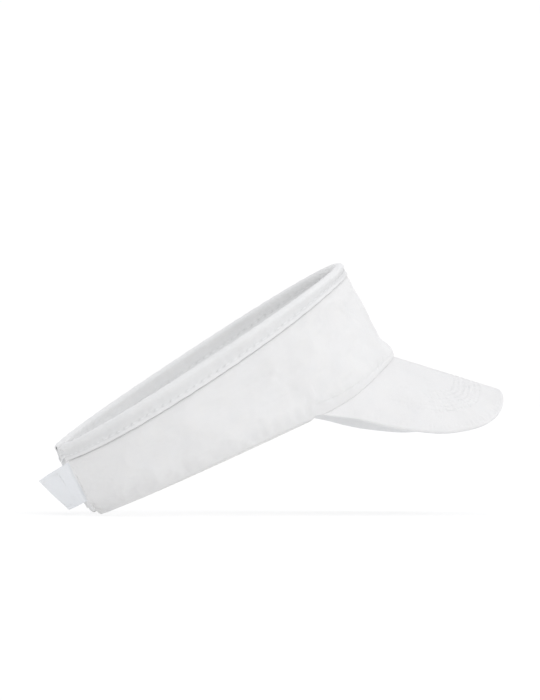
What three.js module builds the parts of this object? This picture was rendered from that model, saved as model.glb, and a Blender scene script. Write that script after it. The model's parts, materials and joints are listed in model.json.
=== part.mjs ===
// Cotton sun visor: an open-topped head band with a curved, board-stiffened brim at the front
// and a hook-and-loop tape across the gap at the back.
//
// Frame, in millimetres: +X is the wearer's left, -Y is forward, +Z is up on an upright head.
// The origin is the middle of the head opening. The band sits tipped back on the head, so most of
// the model is written in band coordinates (x, v, n): v runs rearward along the tipped band and
// n is the height above the plane of its lower edge.
import * as THREE from 'three';

// ---- Driving dimensions ----------------------------------------------------------------------
const TILT = 24.6;                // how far the band is tipped, front up, in degrees
const ORIGIN_HEIGHT = 25;         // height of the origin above the band's lower edge
const HALF_WIDTH = 80;            // outside of the band at the lower edge, side to middle
const SIDE_LEAN = 0.06;           // how much the sides lean inwards per mm of height
const FRONT_LENGTH = 102.6;       // outside of the band at the lower edge, front to middle
const FRONT_LEAN = 0.065;
const REAR_LENGTH = 101.8;         // outside of the band at the lower edge, rear to middle
const REAR_BOW = 2.2;             // the rear ends belly outwards between their two edges
const REAR_BOW_HEIGHT = 26;
const PLAN_POWER = 2.2;           // squareness of the oval; 2 is an ellipse
const REAR_HEIGHT = 47.8;         // height of the band at its rear ends
const FRONT_RISE = 28.6;          // how much taller the band is at the front
const RIM_POWER = 1.02;           // how late the rim rises towards the front
const RIM_REAR = 98;
const RIM_RUN = 196;
const LOWER_EDGE = 1.6;           // height of the lower edge at the rear ends
const SIDE_ARCH = 2.4;            // the lower edge arches up this much along the sides
const ROLL_DEPTH = 3.6;           // the soft roll of the crown over the brim seam
const ROLL_HEIGHT = 17;
const ROLL_SPREAD = 7;
const ROLL_FADE = 34;             // degrees round from the front over which the roll dies out

const REAR_END_ANGLE = 168.3;     // both rear ends, degrees round from the front
const CUT_ANGLE = 84;             // left temple, where the band flexes to change size
const CUT_HALF_GAP = 0.27;
const ANGLE_STEP = 8;             // spacing of the sections round the band
const CLEAR = 0.3;                // gap between neighbouring layers

// Layers of the wall, measured inwards from the outside of the crown.
const SHELL = { outer: 0, inner: 0.7 };
const CORE = { outer: 1.0, inner: 1.8 };
const LINING = { outer: 2.1, inner: 2.6 };
const PADDING = { outer: 2.9, inner: 3.9 };
const SWEATBAND = { outer: 4.2, inner: 5.0 };
const BINDING = { outer: -0.8, outerInside: -0.3, innerInside: 2.9, inner: 3.4 };
const BINDING_DROP = 9.6;         // visible width of the rim binding
const BINDING_TOP = 0.8;
const SWEATBAND_HEIGHT = 30;
const PADDING_INSET = 2;
const STIFFENER_ANGLE = 60;
const STIFFENER_TOP_GAP = 11;
const SHELL_ROWS = [0, 2.5, 5, 7.5, 10, 13, 17, 22];
const UPPER_ROWS = 3;
const PLAIN_ROWS = 4;

// Brim: a sheet bent round one cylinder, drawn flat as (p across, s forward).
const BRIM_RADIUS = 82;
const BRIM_SLOPE = 41.5;          // between the brim's ridge and the plane of the band
const RIDGE = { v: -104.1, n: 13.1 };
const BRIM_END_ANGLE = 68;
const BRIM_INNER_DEPTH = 2.65;    // the brim passes under the crown and stops at the sweatband
const BRIM_OUTLINE = [
  [0, 68.6], [30, 68.2], [48, 65.6], [60.5, 60.2], [70.5, 51.4],
  [81, 34.4], [86.4, 15], [89, 0], [90.8, -20],
];
const BRIM_END_PROUD = 0.6;       // the brim's rear corners stand this far outside the crown
const BRIM_TOP = { over: 0, under: 0.6 };
const BRIM_BOARD = { over: 0.9, under: 2.3, inset: 2 };
const BRIM_UNDER = { over: 2.6, under: 3.2 };
const BRIM_SECTIONS = 34;
const BRIM_ROWS = 6;
const SEAM_CLEAR = 1.4;

// Closure: tape sewn inside the right end, and a loop patch on the outside of the left end.
const TAPE_WIDTH = 25.4;
const TAPE_THICK = 0.8;
const TAPE_HEIGHT = 24.4;         // middle of the tape above the lower edge
const TAPE_BASE_ANGLE = 150;      // where the sewn part of the tape starts
const TAPE_PAST_END = 0.6;        // degrees that it follows the wall past the end of the shell
const FOLD = { x: -14, v: 102.4 };
const TAPE_END = { x: 35, v: 112.6, n: 20 };
const TAPE_ROLL = 22;             // degrees that the free end rolls over, top edge outwards
const TAPE_STEPS = 8;
const TAPE_START = 0.045;         // the free tape starts this fraction past the fold
const HOOK_THICK = 0.6;
const HOOK_START = 0.35;
const HOOK_END = 0.97;
const HOOK_MARGIN = 1.7;
const LOOP_THICK = 0.9;
const LOOP_START_ANGLE = 138;
const LOOP_MARGIN = 2;            // degrees of bare cloth past the patch at the rear end

const RAD = Math.PI / 180;

// ---- Colours -----------------------------------------------------------------------------------
function fabric(colour, roughness) {
  return new THREE.MeshStandardMaterial({ color: colour, roughness, metalness: 0 });
}
const WHITE_TWILL = fabric(0xf1f2f2, 0.9);
const WHITE_LINING = fabric(0xe9eae9, 0.92);
const WHITE_TAPE = fabric(0xeef3f6, 0.7);
const WHITE_TERRY = fabric(0xf0efec, 0.98);
const FOAM = fabric(0xe4e2da, 0.98);
const BUCKRAM = fabric(0xdedfdc, 0.85);
const BOARD = fabric(0xe6e6e2, 0.5);
const LOOP_PILE = fabric(0xeceeee, 0.97);
const HOOK_PILE = fabric(0xf2f4f5, 0.6);

// ---- The band's shape --------------------------------------------------------------------------
function signedPower(value, power) {
  return Math.sign(value) * Math.abs(value) ** power;
}

function rollOut(angle, n) {
  const round = Math.exp(-((angle / ROLL_FADE) ** 2));
  return ROLL_DEPTH * round * Math.exp(-(((n - ROLL_HEIGHT) / ROLL_SPREAD) ** 2));
}

// The point of the wall at one angle round from the front, one height and one depth inwards.
function wall(angle, n, depth, roll = 0) {
  const towardFront = (1 + Math.cos(angle * RAD)) / 2;
  const front = FRONT_LENGTH - FRONT_LEAN * n + roll * rollOut(angle, n);
  const belly = 1 - ((n - REAR_BOW_HEIGHT) / REAR_BOW_HEIGHT) ** 2;
  const rear = REAR_LENGTH + REAR_BOW * belly;
  const length = front * towardFront + rear * (1 - towardFront) - depth;
  const width = HALF_WIDTH - SIDE_LEAN * n - depth;
  const power = 2 / PLAN_POWER;
  return {
    x: width * signedPower(Math.sin(angle * RAD), power),
    v: -length * signedPower(Math.cos(angle * RAD), power),
  };
}

function rimHeight(angle) {
  const { v } = wall(angle, REAR_HEIGHT, 0);
  const along = Math.max(0, (RIM_REAR - v) / RIM_RUN);
  return REAR_HEIGHT + FRONT_RISE * along ** RIM_POWER;
}

// ---- The brim's shape --------------------------------------------------------------------------
const SLOPE_COS = Math.cos(BRIM_SLOPE * RAD);
const SLOPE_SIN = Math.sin(BRIM_SLOPE * RAD);

// The point of the brim at flat place (p, s) and one depth below its top face.
function brimPoint(p, s, depth) {
  const turn = p / BRIM_RADIUS;
  const drop = BRIM_RADIUS - (BRIM_RADIUS - depth) * Math.cos(turn);
  return {
    x: (BRIM_RADIUS - depth) * Math.sin(turn),
    v: RIDGE.v - s * SLOPE_COS + drop * SLOPE_SIN,
    n: RIDGE.n - s * SLOPE_SIN - drop * SLOPE_COS,
  };
}

// The flat place of the brim directly above or below a point of the band's plan.
function brimFlat({ x, v }, depth) {
  const turn = Math.asin(x / (BRIM_RADIUS - depth));
  const drop = BRIM_RADIUS - (BRIM_RADIUS - depth) * Math.cos(turn);
  return { p: turn * BRIM_RADIUS, s: (RIDGE.v - v + drop * SLOPE_SIN) / SLOPE_COS };
}

function seamHeight(angle, depth, roll = 0) {
  const flat = brimFlat(wall(angle, 0, depth, roll), 0);
  return brimPoint(flat.p, flat.s, 0).n;
}

// Lower edge of a layer whose inner face is at this depth: it rides up over the brim.
function lowerEdge(angle, depth, roll = 0) {
  const arch = LOWER_EDGE + SIDE_ARCH * Math.sin(angle * RAD) ** 2;
  if (Math.abs(angle) > BRIM_END_ANGLE) return arch;
  return Math.max(arch, seamHeight(angle, depth, roll) + SEAM_CLEAR);
}

// ---- Building closed solids ----------------------------------------------------------------------
const place = ({ x, v, n }) => new THREE.Vector3(x, v, n - ORIGIN_HEIGHT);

// A closed solid through a row of sections, each a loop of the same number of corners.
// The first half of each loop faces the second half, so its ends are closed as a strip.
function loft(rings) {
  const size = rings[0].length;
  const last = (rings.length - 1) * size;
  const index = [];
  const addQuad = (a, b, c, d) => index.push(a, b, c, a, c, d);
  for (let i = 0; i < rings.length - 1; i++) {
    for (let j = 0; j < size; j++) {
      const next = (j + 1) % size;
      addQuad(i * size + j, i * size + next, (i + 1) * size + next, (i + 1) * size + j);
    }
  }
  for (let k = 0; k < size / 2 - 1; k++) {
    const across = size - 1 - k;
    addQuad(k, across, across - 1, k + 1);
    addQuad(last + k, last + k + 1, last + across - 1, last + across);
  }
  const points = rings.flat();
  if (signedVolume(points, index) < 0) {
    for (let k = 0; k < index.length; k += 3) {
      [index[k + 1], index[k + 2]] = [index[k + 2], index[k + 1]];
    }
  }
  const geometry = new THREE.BufferGeometry().setFromPoints(points);
  geometry.setIndex(index);
  geometry.computeVertexNormals();
  return geometry;
}

function signedVolume(points, index) {
  let volume = 0;
  const cross = new THREE.Vector3();
  for (let k = 0; k < index.length; k += 3) {
    cross.crossVectors(points[index[k + 1]], points[index[k + 2]]);
    volume += points[index[k]].dot(cross);
  }
  return volume;
}

// Section angles between two ends; all layers share them, so their facets stay parallel.
function sectionAngles(from, to) {
  const inside = [-BRIM_END_ANGLE, BRIM_END_ANGLE];
  for (let a = -ANGLE_STEP * 21; a <= ANGLE_STEP * 21; a += ANGLE_STEP) inside.push(a);
  const kept = inside.filter((a) => a > from + 1 && a < to - 1).sort((a, b) => a - b);
  return [from, ...kept, to];
}

// A length of wall between two angles. low and high give its edges at each angle.
function wallPanel(from, to, layer, low, high, rows, roll = 0) {
  const rings = sectionAngles(from, to).map((angle) => {
    const heights = rows(low(angle), high(angle));
    const side = (depth, list) => list.map((n) => place({ ...wall(angle, n, depth, roll), n }));
    return [...side(layer.outer, heights), ...side(layer.inner, [...heights].reverse())];
  });
  return loft(rings);
}

function plainRows(low, high) {
  return Array.from({ length: PLAIN_ROWS + 1 }, (_, k) => low + ((high - low) * k) / PLAIN_ROWS);
}

function shellRows(low, high) {
  const bottom = SHELL_ROWS.map((step) => low + step);
  const start = bottom.at(-1);
  const steps = Array.from({ length: UPPER_ROWS }, (_, k) => (k + 1) / UPPER_ROWS);
  return [...bottom, ...steps.map((t) => start + (high - start) * t)];
}

// The rim binding: one tape folded over the top edge of shell and lining.
function bindingPiece(from, to) {
  const section = (rim) => [
    [BINDING.outer, rim - BINDING_DROP], [BINDING.outer, rim + BINDING_TOP],
    [BINDING.inner, rim + BINDING_TOP], [BINDING.inner, rim - BINDING_DROP],
    [BINDING.innerInside, rim - BINDING_DROP], [BINDING.innerInside, rim + CLEAR],
    [BINDING.outerInside, rim + CLEAR], [BINDING.outerInside, rim - BINDING_DROP],
  ];
  const rings = sectionAngles(from, to).map((angle) => (
    section(rimHeight(angle)).map(([depth, n]) => place({ ...wall(angle, n, depth), n }))
  ));
  return loft(rings);
}

// One layer of the brim, drawn flat and bent round the brim's cylinder.
function brimLayer({ over, under, inset = 0 }) {
  const corner = brimFlat(wall(BRIM_END_ANGLE, 0, -BRIM_END_PROUD), 0);
  const drawn = [...BRIM_OUTLINE, [corner.p, corner.s]];
  const half = drawn.map(([p, s]) => new THREE.Vector2(p, s));
  const mirrored = half.slice(1).reverse().map(({ x, y }) => new THREE.Vector2(-x, y));
  const outline = new THREE.SplineCurve([...mirrored, ...half]);
  const endTrim = inset / BRIM_RADIUS;
  const across = Array.from({ length: BRIM_ROWS + 1 }, (_, k) => k / BRIM_ROWS);
  const rings = [];
  for (let i = 0; i <= BRIM_SECTIONS; i++) {
    const along = THREE.MathUtils.lerp(endTrim, 1 - endTrim, i / BRIM_SECTIONS);
    const edge = outline.getPointAt(along);
    const middle = new THREE.Vector2(0, corner.s);
    edge.add(middle.sub(edge).setLength(inset));
    const angle = THREE.MathUtils.lerp(-BRIM_END_ANGLE, BRIM_END_ANGLE, along);
    const face = (depth, list) => list.map((t) => {
      const inner = brimFlat(wall(angle, 0, BRIM_INNER_DEPTH), depth);
      const p = THREE.MathUtils.lerp(inner.p, edge.x, t);
      const s = THREE.MathUtils.lerp(inner.s, edge.y, t);
      return place(brimPoint(p, s, depth));
    });
    rings.push([...face(over, across), ...face(under, [...across].reverse())]);
  }
  return loft(rings);
}

// A flat strip that follows the free tape from one fraction of its length to another.
// lift is the distance of its two faces from the middle of the tape, rearwards.
function tapeStrip(from, to, width, lift) {
  const start = new THREE.Vector3(FOLD.x, FOLD.v, TAPE_HEIGHT);
  const end = new THREE.Vector3(TAPE_END.x, TAPE_END.v, TAPE_END.n);
  const run = end.clone().sub(start).normalize();
  const rings = [];
  for (let i = 0; i <= TAPE_STEPS; i++) {
    const t = THREE.MathUtils.lerp(from, to, i / TAPE_STEPS);
    const roll = TAPE_ROLL * t * RAD;
    const rolled = new THREE.Vector3(0, Math.sin(roll), Math.cos(roll));
    const up = rolled.addScaledVector(run, -rolled.dot(run)).normalize();
    const out = new THREE.Vector3().crossVectors(up, run);
    const middle = start.clone().lerp(end, t);
    const corner = (face, side) => {
      const at = middle.clone().addScaledVector(out, face);
      at.addScaledVector(up, (side * width) / 2);
      return place({ x: at.x, v: at.y, n: at.z });
    };
    const [near, far] = lift;
    rings.push([corner(near, -1), corner(near, 1), corner(far, 1), corner(far, -1)]);
  }
  return loft(rings);
}

// The sewn part of the tape: between shell and lining, then a short way past the right end.
function tapeBase() {
  const low = TAPE_HEIGHT - TAPE_WIDTH / 2;
  const heights = plainRows(low, low + TAPE_WIDTH);
  const last = -REAR_END_ANGLE - TAPE_PAST_END;
  const stations = sectionAngles(last, -TAPE_BASE_ANGLE).reverse();
  const rings = stations.map((angle) => {
    const side = (depth, list) => list.map((n) => place({ ...wall(angle, n, depth), n }));
    return [...side(CORE.outer, heights), ...side(CORE.inner, [...heights].reverse())];
  });
  const face = (v, list) => list.map((n) => place({ x: FOLD.x - CLEAR, v, n }));
  const half = TAPE_THICK / 2;
  rings.push([...face(FOLD.v + half, heights), ...face(FOLD.v - half, [...heights].reverse())]);
  return loft(rings);
}

// ---- Assembly ------------------------------------------------------------------------------------
const visor = new THREE.Group();
visor.rotation.x = -TILT * RAD;

function add(name, geometry, material) {
  const mesh = new THREE.Mesh(geometry, material);
  mesh.name = name;
  visor.add(mesh);
}

function addBand(suffix, from, to) {
  const shellLow = (a) => lowerEdge(a, SHELL.inner, 1);
  const liningLow = (a) => lowerEdge(a, LINING.inner);
  const shell = wallPanel(from, to, SHELL, shellLow, rimHeight, shellRows, 1);
  add(`crown_shell${suffix}`, shell, WHITE_TWILL);
  const lining = wallPanel(from, to, LINING, liningLow, rimHeight, plainRows);
  add(`crown_lining${suffix}`, lining, WHITE_LINING);
  add(`top_binding${suffix}`, bindingPiece(from, to), WHITE_TAPE);
  const bandLow = (a) => 1 + lowerEdge(a, SHELL.inner) / 2;
  const bandHigh = (a) => SWEATBAND_HEIGHT + lowerEdge(a, SHELL.inner) / 2;
  const sweatband = wallPanel(from, to, SWEATBAND, bandLow, bandHigh, plainRows);
  add(`sweatband${suffix}`, sweatband, WHITE_TERRY);
  const padLow = (a) => bandLow(a) + PADDING_INSET;
  const padHigh = (a) => bandHigh(a) - PADDING_INSET;
  const padding = wallPanel(from + 1, to - 1, PADDING, padLow, padHigh, plainRows);
  add(`sweatband_padding${suffix}`, padding, FOAM);
}

addBand('', -REAR_END_ANGLE, CUT_ANGLE - CUT_HALF_GAP);
addBand('_left', CUT_ANGLE + CUT_HALF_GAP, REAR_END_ANGLE);

const stiffenerLow = (angle) => lowerEdge(angle, CORE.inner) + CLEAR;
const stiffenerHigh = (angle) => rimHeight(angle) - STIFFENER_TOP_GAP;
const stiffener = wallPanel(
  -STIFFENER_ANGLE, STIFFENER_ANGLE, CORE, stiffenerLow, stiffenerHigh, plainRows,
);
add('front_stiffener', stiffener, BUCKRAM);

add('brim_top_cover', brimLayer(BRIM_TOP), WHITE_TWILL);
add('brim_board', brimLayer(BRIM_BOARD), BOARD);
add('brim_under_cover', brimLayer(BRIM_UNDER), WHITE_LINING);

const halfTape = TAPE_THICK / 2;
add('strap_base', tapeBase(), WHITE_TAPE);
add('hook_strap', tapeStrip(TAPE_START, 1, TAPE_WIDTH, [-halfTape, halfTape]), WHITE_TAPE);
const hookLift = [-halfTape - CLEAR - HOOK_THICK, -halfTape - CLEAR];
const hookWidth = TAPE_WIDTH - 2 * HOOK_MARGIN;
add('hook_field', tapeStrip(HOOK_START, HOOK_END, hookWidth, hookLift), HOOK_PILE);

const loopLayer = { outer: -CLEAR - LOOP_THICK, inner: -CLEAR };
const loopLow = () => TAPE_HEIGHT - TAPE_WIDTH / 2;
const loopHigh = () => TAPE_HEIGHT + TAPE_WIDTH / 2;
const loopEnd = REAR_END_ANGLE - LOOP_MARGIN;
const loop = wallPanel(LOOP_START_ANGLE, loopEnd, loopLayer, loopLow, loopHigh, plainRows);
add('loop_patch', loop, LOOP_PILE);

export default visor;
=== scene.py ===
"""Looks for a white cotton sun visor: band, rim binding, quilted brim, sweatband and rear closure tape."""

import json
import math

import bpy
import numpy as np
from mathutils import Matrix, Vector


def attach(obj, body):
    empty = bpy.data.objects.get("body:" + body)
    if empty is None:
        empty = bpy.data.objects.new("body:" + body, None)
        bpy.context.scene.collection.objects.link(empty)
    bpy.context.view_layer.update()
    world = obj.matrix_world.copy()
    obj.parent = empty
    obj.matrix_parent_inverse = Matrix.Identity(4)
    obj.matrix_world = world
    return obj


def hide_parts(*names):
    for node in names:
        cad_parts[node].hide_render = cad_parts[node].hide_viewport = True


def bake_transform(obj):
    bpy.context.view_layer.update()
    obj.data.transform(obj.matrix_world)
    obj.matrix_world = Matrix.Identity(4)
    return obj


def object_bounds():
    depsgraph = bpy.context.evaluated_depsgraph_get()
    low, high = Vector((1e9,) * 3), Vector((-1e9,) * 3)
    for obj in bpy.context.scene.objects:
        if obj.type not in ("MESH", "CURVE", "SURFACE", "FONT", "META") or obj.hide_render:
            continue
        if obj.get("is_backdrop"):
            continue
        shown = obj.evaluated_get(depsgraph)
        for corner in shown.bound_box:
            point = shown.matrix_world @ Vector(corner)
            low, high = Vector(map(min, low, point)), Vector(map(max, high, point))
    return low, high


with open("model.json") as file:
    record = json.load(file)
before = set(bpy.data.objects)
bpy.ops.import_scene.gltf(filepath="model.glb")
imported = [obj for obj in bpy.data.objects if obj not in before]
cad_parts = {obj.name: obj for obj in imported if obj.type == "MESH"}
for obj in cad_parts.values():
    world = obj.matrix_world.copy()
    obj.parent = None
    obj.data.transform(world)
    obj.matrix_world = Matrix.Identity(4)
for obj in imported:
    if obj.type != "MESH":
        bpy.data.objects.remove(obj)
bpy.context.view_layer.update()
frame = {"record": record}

# ---- Dimensions, in millimetres --------------------
MM = 0.001
ORIGIN_HEIGHT = 25             # of the row frame's origin above the band's base
HALF_WIDTH = 80                # of the band at its base
SIDE_LEAN = 0.06               # how far its sides lean in for each millimetre of height
FRONT_LENGTH = 102.6           # from its middle to its front at the base
FRONT_LEAN = 0.065
REAR_LENGTH = 101.8            # from its middle to its rear
REAR_BOW = 2.2                 # the rear bulges by this much at this height
REAR_BOW_HEIGHT = 26
PLAN_POWER = 2.2               # of the oval seen from above
REAR_HEIGHT = 47.8             # of the rim at the rear, and how much higher it is in front
FRONT_RISE = 28.6
RIM_POWER = 1.02               # bend of the rim seen from the side
RIM_REAR = 98                  # it rises from here, over this length forwards
RIM_RUN = 196
LOWER_EDGE = 1.6               # height of the lower edge at the rear, and how much it arches at the sides
SIDE_ARCH = 2.4
ROLL_DEPTH = 3.6               # the crown bulges over the brim in front, at this height
ROLL_HEIGHT = 17
ROLL_SPREAD = 7
ROLL_FADE = 36                 # degrees to either side
REAR_END = 168.3               # degrees round to each rear end

BRIM_RADIUS = 82               # the brim is bent round a cylinder, which slopes down to the front
BRIM_SLOPE = math.radians(41.5)
RIDGE_V = -104.1               # its highest line passes through here
RIDGE_N = 13.1
BRIM_END = 70                  # degrees round to each rear corner of the brim
BRIM_INNER_DEPTH = 2.65        # how far its inner edge reaches into the band
BRIM_OUTLINE = [               # (p, s) of half its edge on the flat brim
    (0, 68.6), (30, 68.2), (48, 65.6), (60.5, 60.2), (70.5, 51.4),
    (81, 34.4), (86.4, 15), (89, 0), (90.8, -20),
]
BRIM_END_HEIGHT = 4.2          # of its rear corners
LOWER_EDGE_EASE = (3, 4)       # degrees past the brim's corner where the edge comes off it, and over which
SETTLING_ROUNDS = 6            # the edge's height and the wall's lean depend on each other

TAPE_WIDTH = 25.4
TAPE_THICK = 0.8
TAPE_HEIGHT = 24.4
TAPE_END = np.array([35, 112.6, 20])    # middle of its cut end
TAPE_ROLL = math.radians(22)   # it twists by this much on the way there
HOOK_START = 0.35              # share of the free tape's length
HOOK_END = 0.97
HOOK_MARGIN = 1.7
LOOP_START = 138               # degrees round from the front
LOOP_MARGIN = 2

CLOTH = 0.7                     # thickness of the crown cloth with its seam allowance
HEM_RADIUS = 1.6                # the rear ends are turned round the layers inside them
HEM_RETURN = 8
BINDING_WIDTHS = [(0, 6.2), (40, 7.6), (70, 10), (95, 11.2), (125, 11), (150, 9.6), (180, 8)]
BINDING_PITCH = 5.4             # length of one stitch of the binding row

# The band leans back by the angle of the head mount's axis.
mount_axis = frame["record"]["mounts"][0]["axis"]
TILT = math.atan2(-mount_axis[1], -mount_axis[2])


def to_row(x, v, n):
    """Band coordinates in millimetres to the row frame in metres."""
    up = n - ORIGIN_HEIGHT
    y = v * math.cos(TILT) + up * math.sin(TILT)
    z = -v * math.sin(TILT) + up * math.cos(TILT)
    return np.stack(np.broadcast_arrays(x, y, z), axis=-1) * MM


def grid_to_row(grid):
    """The same for an array of points (..., 3)."""
    return to_row(*np.moveaxis(grid, -1, 0))


def unit(vectors):
    """The directions of vectors (..., 3)."""
    return vectors / np.maximum(np.linalg.norm(vectors, axis=-1, keepdims=True), 1e-12)


def smooth(t):
    """An easy step from 0 to 1."""
    t = np.clip(t, 0, 1)
    return t * t * (3 - 2 * t)


def gauss(x):
    """A bump of height 1 at 0."""
    return np.exp(-x * x)


def by_brim(angle, past, ease):
    """1 round the front, easing to 0 by some degrees past the brim's corners."""
    return smooth((BRIM_END + past - np.abs(angle)) / ease)


# ---- The band's shape --------------------
def wall_plan(angle, n, depth, roll=1.0):
    """Plan point (x, v) of the band's wall, at an angle from the front, a height and a depth inwards."""
    a = np.radians(angle)
    toward_front = (1 + np.cos(a)) / 2
    bulge = ROLL_DEPTH * gauss(angle / ROLL_FADE) * gauss((n - ROLL_HEIGHT) / ROLL_SPREAD)
    front = FRONT_LENGTH - FRONT_LEAN * n + roll * bulge
    rear = REAR_LENGTH + REAR_BOW * (1 - ((n - REAR_BOW_HEIGHT) / REAR_BOW_HEIGHT) ** 2)
    length = front * toward_front + rear * (1 - toward_front) - depth
    width = HALF_WIDTH - SIDE_LEAN * n - depth
    power = 2 / PLAN_POWER
    x = width * np.sign(np.sin(a)) * np.abs(np.sin(a)) ** power
    v = -length * np.sign(np.cos(a)) * np.abs(np.cos(a)) ** power
    return x, v


def rim_height(angle):
    """Height of the rim: straight from the side, higher in front."""
    v = wall_plan(angle, REAR_HEIGHT, 0)[1]
    return REAR_HEIGHT + FRONT_RISE * np.maximum(0, (RIM_REAR - v) / RIM_RUN) ** RIM_POWER


def wall(angle, n, depth, roll=1.0):
    """The same point of the wall in the row frame."""
    x, v = wall_plan(angle, n, depth, roll)
    return to_row(x, v, n)


def brim_flat(x, v, depth):
    """Where on the flat brim a plan point lies: p across it, s out along its slope."""
    turn = np.arcsin(np.clip(x / (BRIM_RADIUS - depth), -1, 1))
    drop = BRIM_RADIUS - (BRIM_RADIUS - depth) * np.cos(turn)
    return turn * BRIM_RADIUS, (RIDGE_V - v + drop * math.sin(BRIM_SLOPE)) / math.cos(BRIM_SLOPE)


BRIM_CORNER = brim_flat(*wall_plan(BRIM_END, BRIM_END_HEIGHT, 0, 0.0), 0)


def brim_place(p, s, depth):
    """Band coordinates of a point of the bent brim."""
    turn = p / BRIM_RADIUS
    radius = BRIM_RADIUS - depth
    drop = BRIM_RADIUS - radius * np.cos(turn)
    v = RIDGE_V - s * math.cos(BRIM_SLOPE) + drop * math.sin(BRIM_SLOPE)
    n = RIDGE_N - s * math.sin(BRIM_SLOPE) - drop * math.cos(BRIM_SLOPE)
    return radius * np.sin(turn), v, n


def brim_height(x, v):
    """Height of the brim's top face above or below a plan point."""
    p, s = brim_flat(x, v, 0)
    return brim_place(p, s, 0)[2]


def lower_edge(angle, depth, roll=1.0):
    """Height of the lower edge of a layer: level at the rear, and riding up over the brim in front."""
    arch = LOWER_EDGE + SIDE_ARCH * np.sin(np.radians(angle)) ** 2
    n = arch
    for _ in range(SETTLING_ROUNDS):
        n = brim_height(*wall_plan(angle, n, depth, roll))
    return arch + (n - arch) * by_brim(angle, *LOWER_EDGE_EASE)


# ---- Meshes --------------------
def make_object(name, verts, faces, material, uv=None):
    """A smooth shaded piece. uv is in metres on the flat cloth."""
    mesh = bpy.data.meshes.new(name)
    mesh.from_pydata(np.asarray(verts).tolist(), [], faces)
    mesh.materials.append(material)
    for polygon in mesh.polygons:
        polygon.use_smooth = True
    if uv is not None:
        layer = mesh.uv_layers.new(name="flat")
        layer.data.foreach_set("uv", np.asarray(uv, np.float32).ravel())
    mesh.validate()
    mesh.update()
    piece = bpy.data.objects.new(name, mesh)
    bpy.context.scene.collection.objects.link(piece)
    return piece


def arc_lengths(points):
    """Running length along the first axis of a line of points."""
    steps = np.linalg.norm(np.diff(points, axis=0), axis=1)
    return np.concatenate([[0], np.cumsum(steps)])


def ring_solid(name, rings, material, flat=None):
    """A closed solid through rings (N, K, 3): the first half of each ring faces the second half.

    flat holds the flat place (N, K, 2) of each point on the cloth in metres; without it, it is measured."""
    count, size = rings.shape[:2]
    i, j = np.meshgrid(np.arange(count - 1), np.arange(size), indexing="ij")
    k = (j + 1) % size
    sides = np.stack([i * size + j, i * size + k, (i + 1) * size + k, (i + 1) * size + j], -1)
    if flat is None:
        along = arc_lengths(rings[:, size // 4])
        across = arc_lengths(rings[count // 2])
        flat = np.stack(np.broadcast_arrays(along[:, None], across), -1)
    side_uv = np.stack([flat[i, j], flat[i, k], flat[i + 1, k], flat[i + 1, j]], 2)
    faces = sides.reshape(-1, 4).tolist()
    uv = [side_uv.reshape(-1, 2)]
    last = (count - 1) * size
    for m in range(size // 2 - 1):
        quad = [m, size - 1 - m, size - 2 - m, m + 1]
        faces.append(quad)
        faces.append([last + q for q in reversed(quad)])
        uv.append(flat[0, quad])
        uv.append(flat[-1, quad[::-1]])
    piece = make_object(name, rings.reshape(-1, 3), faces, material, np.concatenate(uv))
    return face_outwards(piece)


def face_outwards(piece):
    """Turns the faces round if the solid is inside out."""
    mesh = piece.data
    mesh.calc_loop_triangles()
    co = np.array([v.co for v in mesh.vertices])
    tri = np.array([t.vertices for t in mesh.loop_triangles])
    a, b, c = co[tri[:, 0]], co[tri[:, 1]], co[tri[:, 2]]
    if np.einsum("ij,ij->i", a, np.cross(b, c)).sum() < 0:
        mesh.flip_normals()
    return piece


def sheet_solid(name, outer, inner, material, flat=None):
    """A closed sheet between two grids of points (N, M, 3). flat holds their places on the flat cloth."""
    rings = np.concatenate([outer, inner[:, ::-1]], axis=1)
    if flat is None:
        along = arc_lengths(outer[:, outer.shape[1] // 2])
        across = arc_lengths(outer[len(outer) // 2])
        flat = np.stack(np.broadcast_arrays(along[:, None], across), -1)
    return ring_solid(name, rings, material, np.concatenate([flat, flat[:, ::-1]], axis=1))


def grid_faces(count, size):
    """Quads over a grid of count x size points."""
    i, j = np.meshgrid(np.arange(count - 1), np.arange(size - 1), indexing="ij")
    first = i * size + j
    return np.stack([first, first + 1, first + size + 1, first + size], -1).reshape(-1, 4)


def grid_normals(grid):
    """Unit normals of a grid of points, out of the face whose rows turn left to columns."""
    du = np.gradient(grid, axis=0)
    dv = np.gradient(grid, axis=1)
    return unit(np.cross(du, dv))


# ---- Cloth simulation --------------------
SIM_FRAMES = 20
SIM_STEPS = 5
SIM_MASS = 0.2
SIM_STRETCH = 30
SIM_SHEAR = 12
SETTLED_COLUMNS = 150          # the band's layers settle on coarse grids


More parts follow.
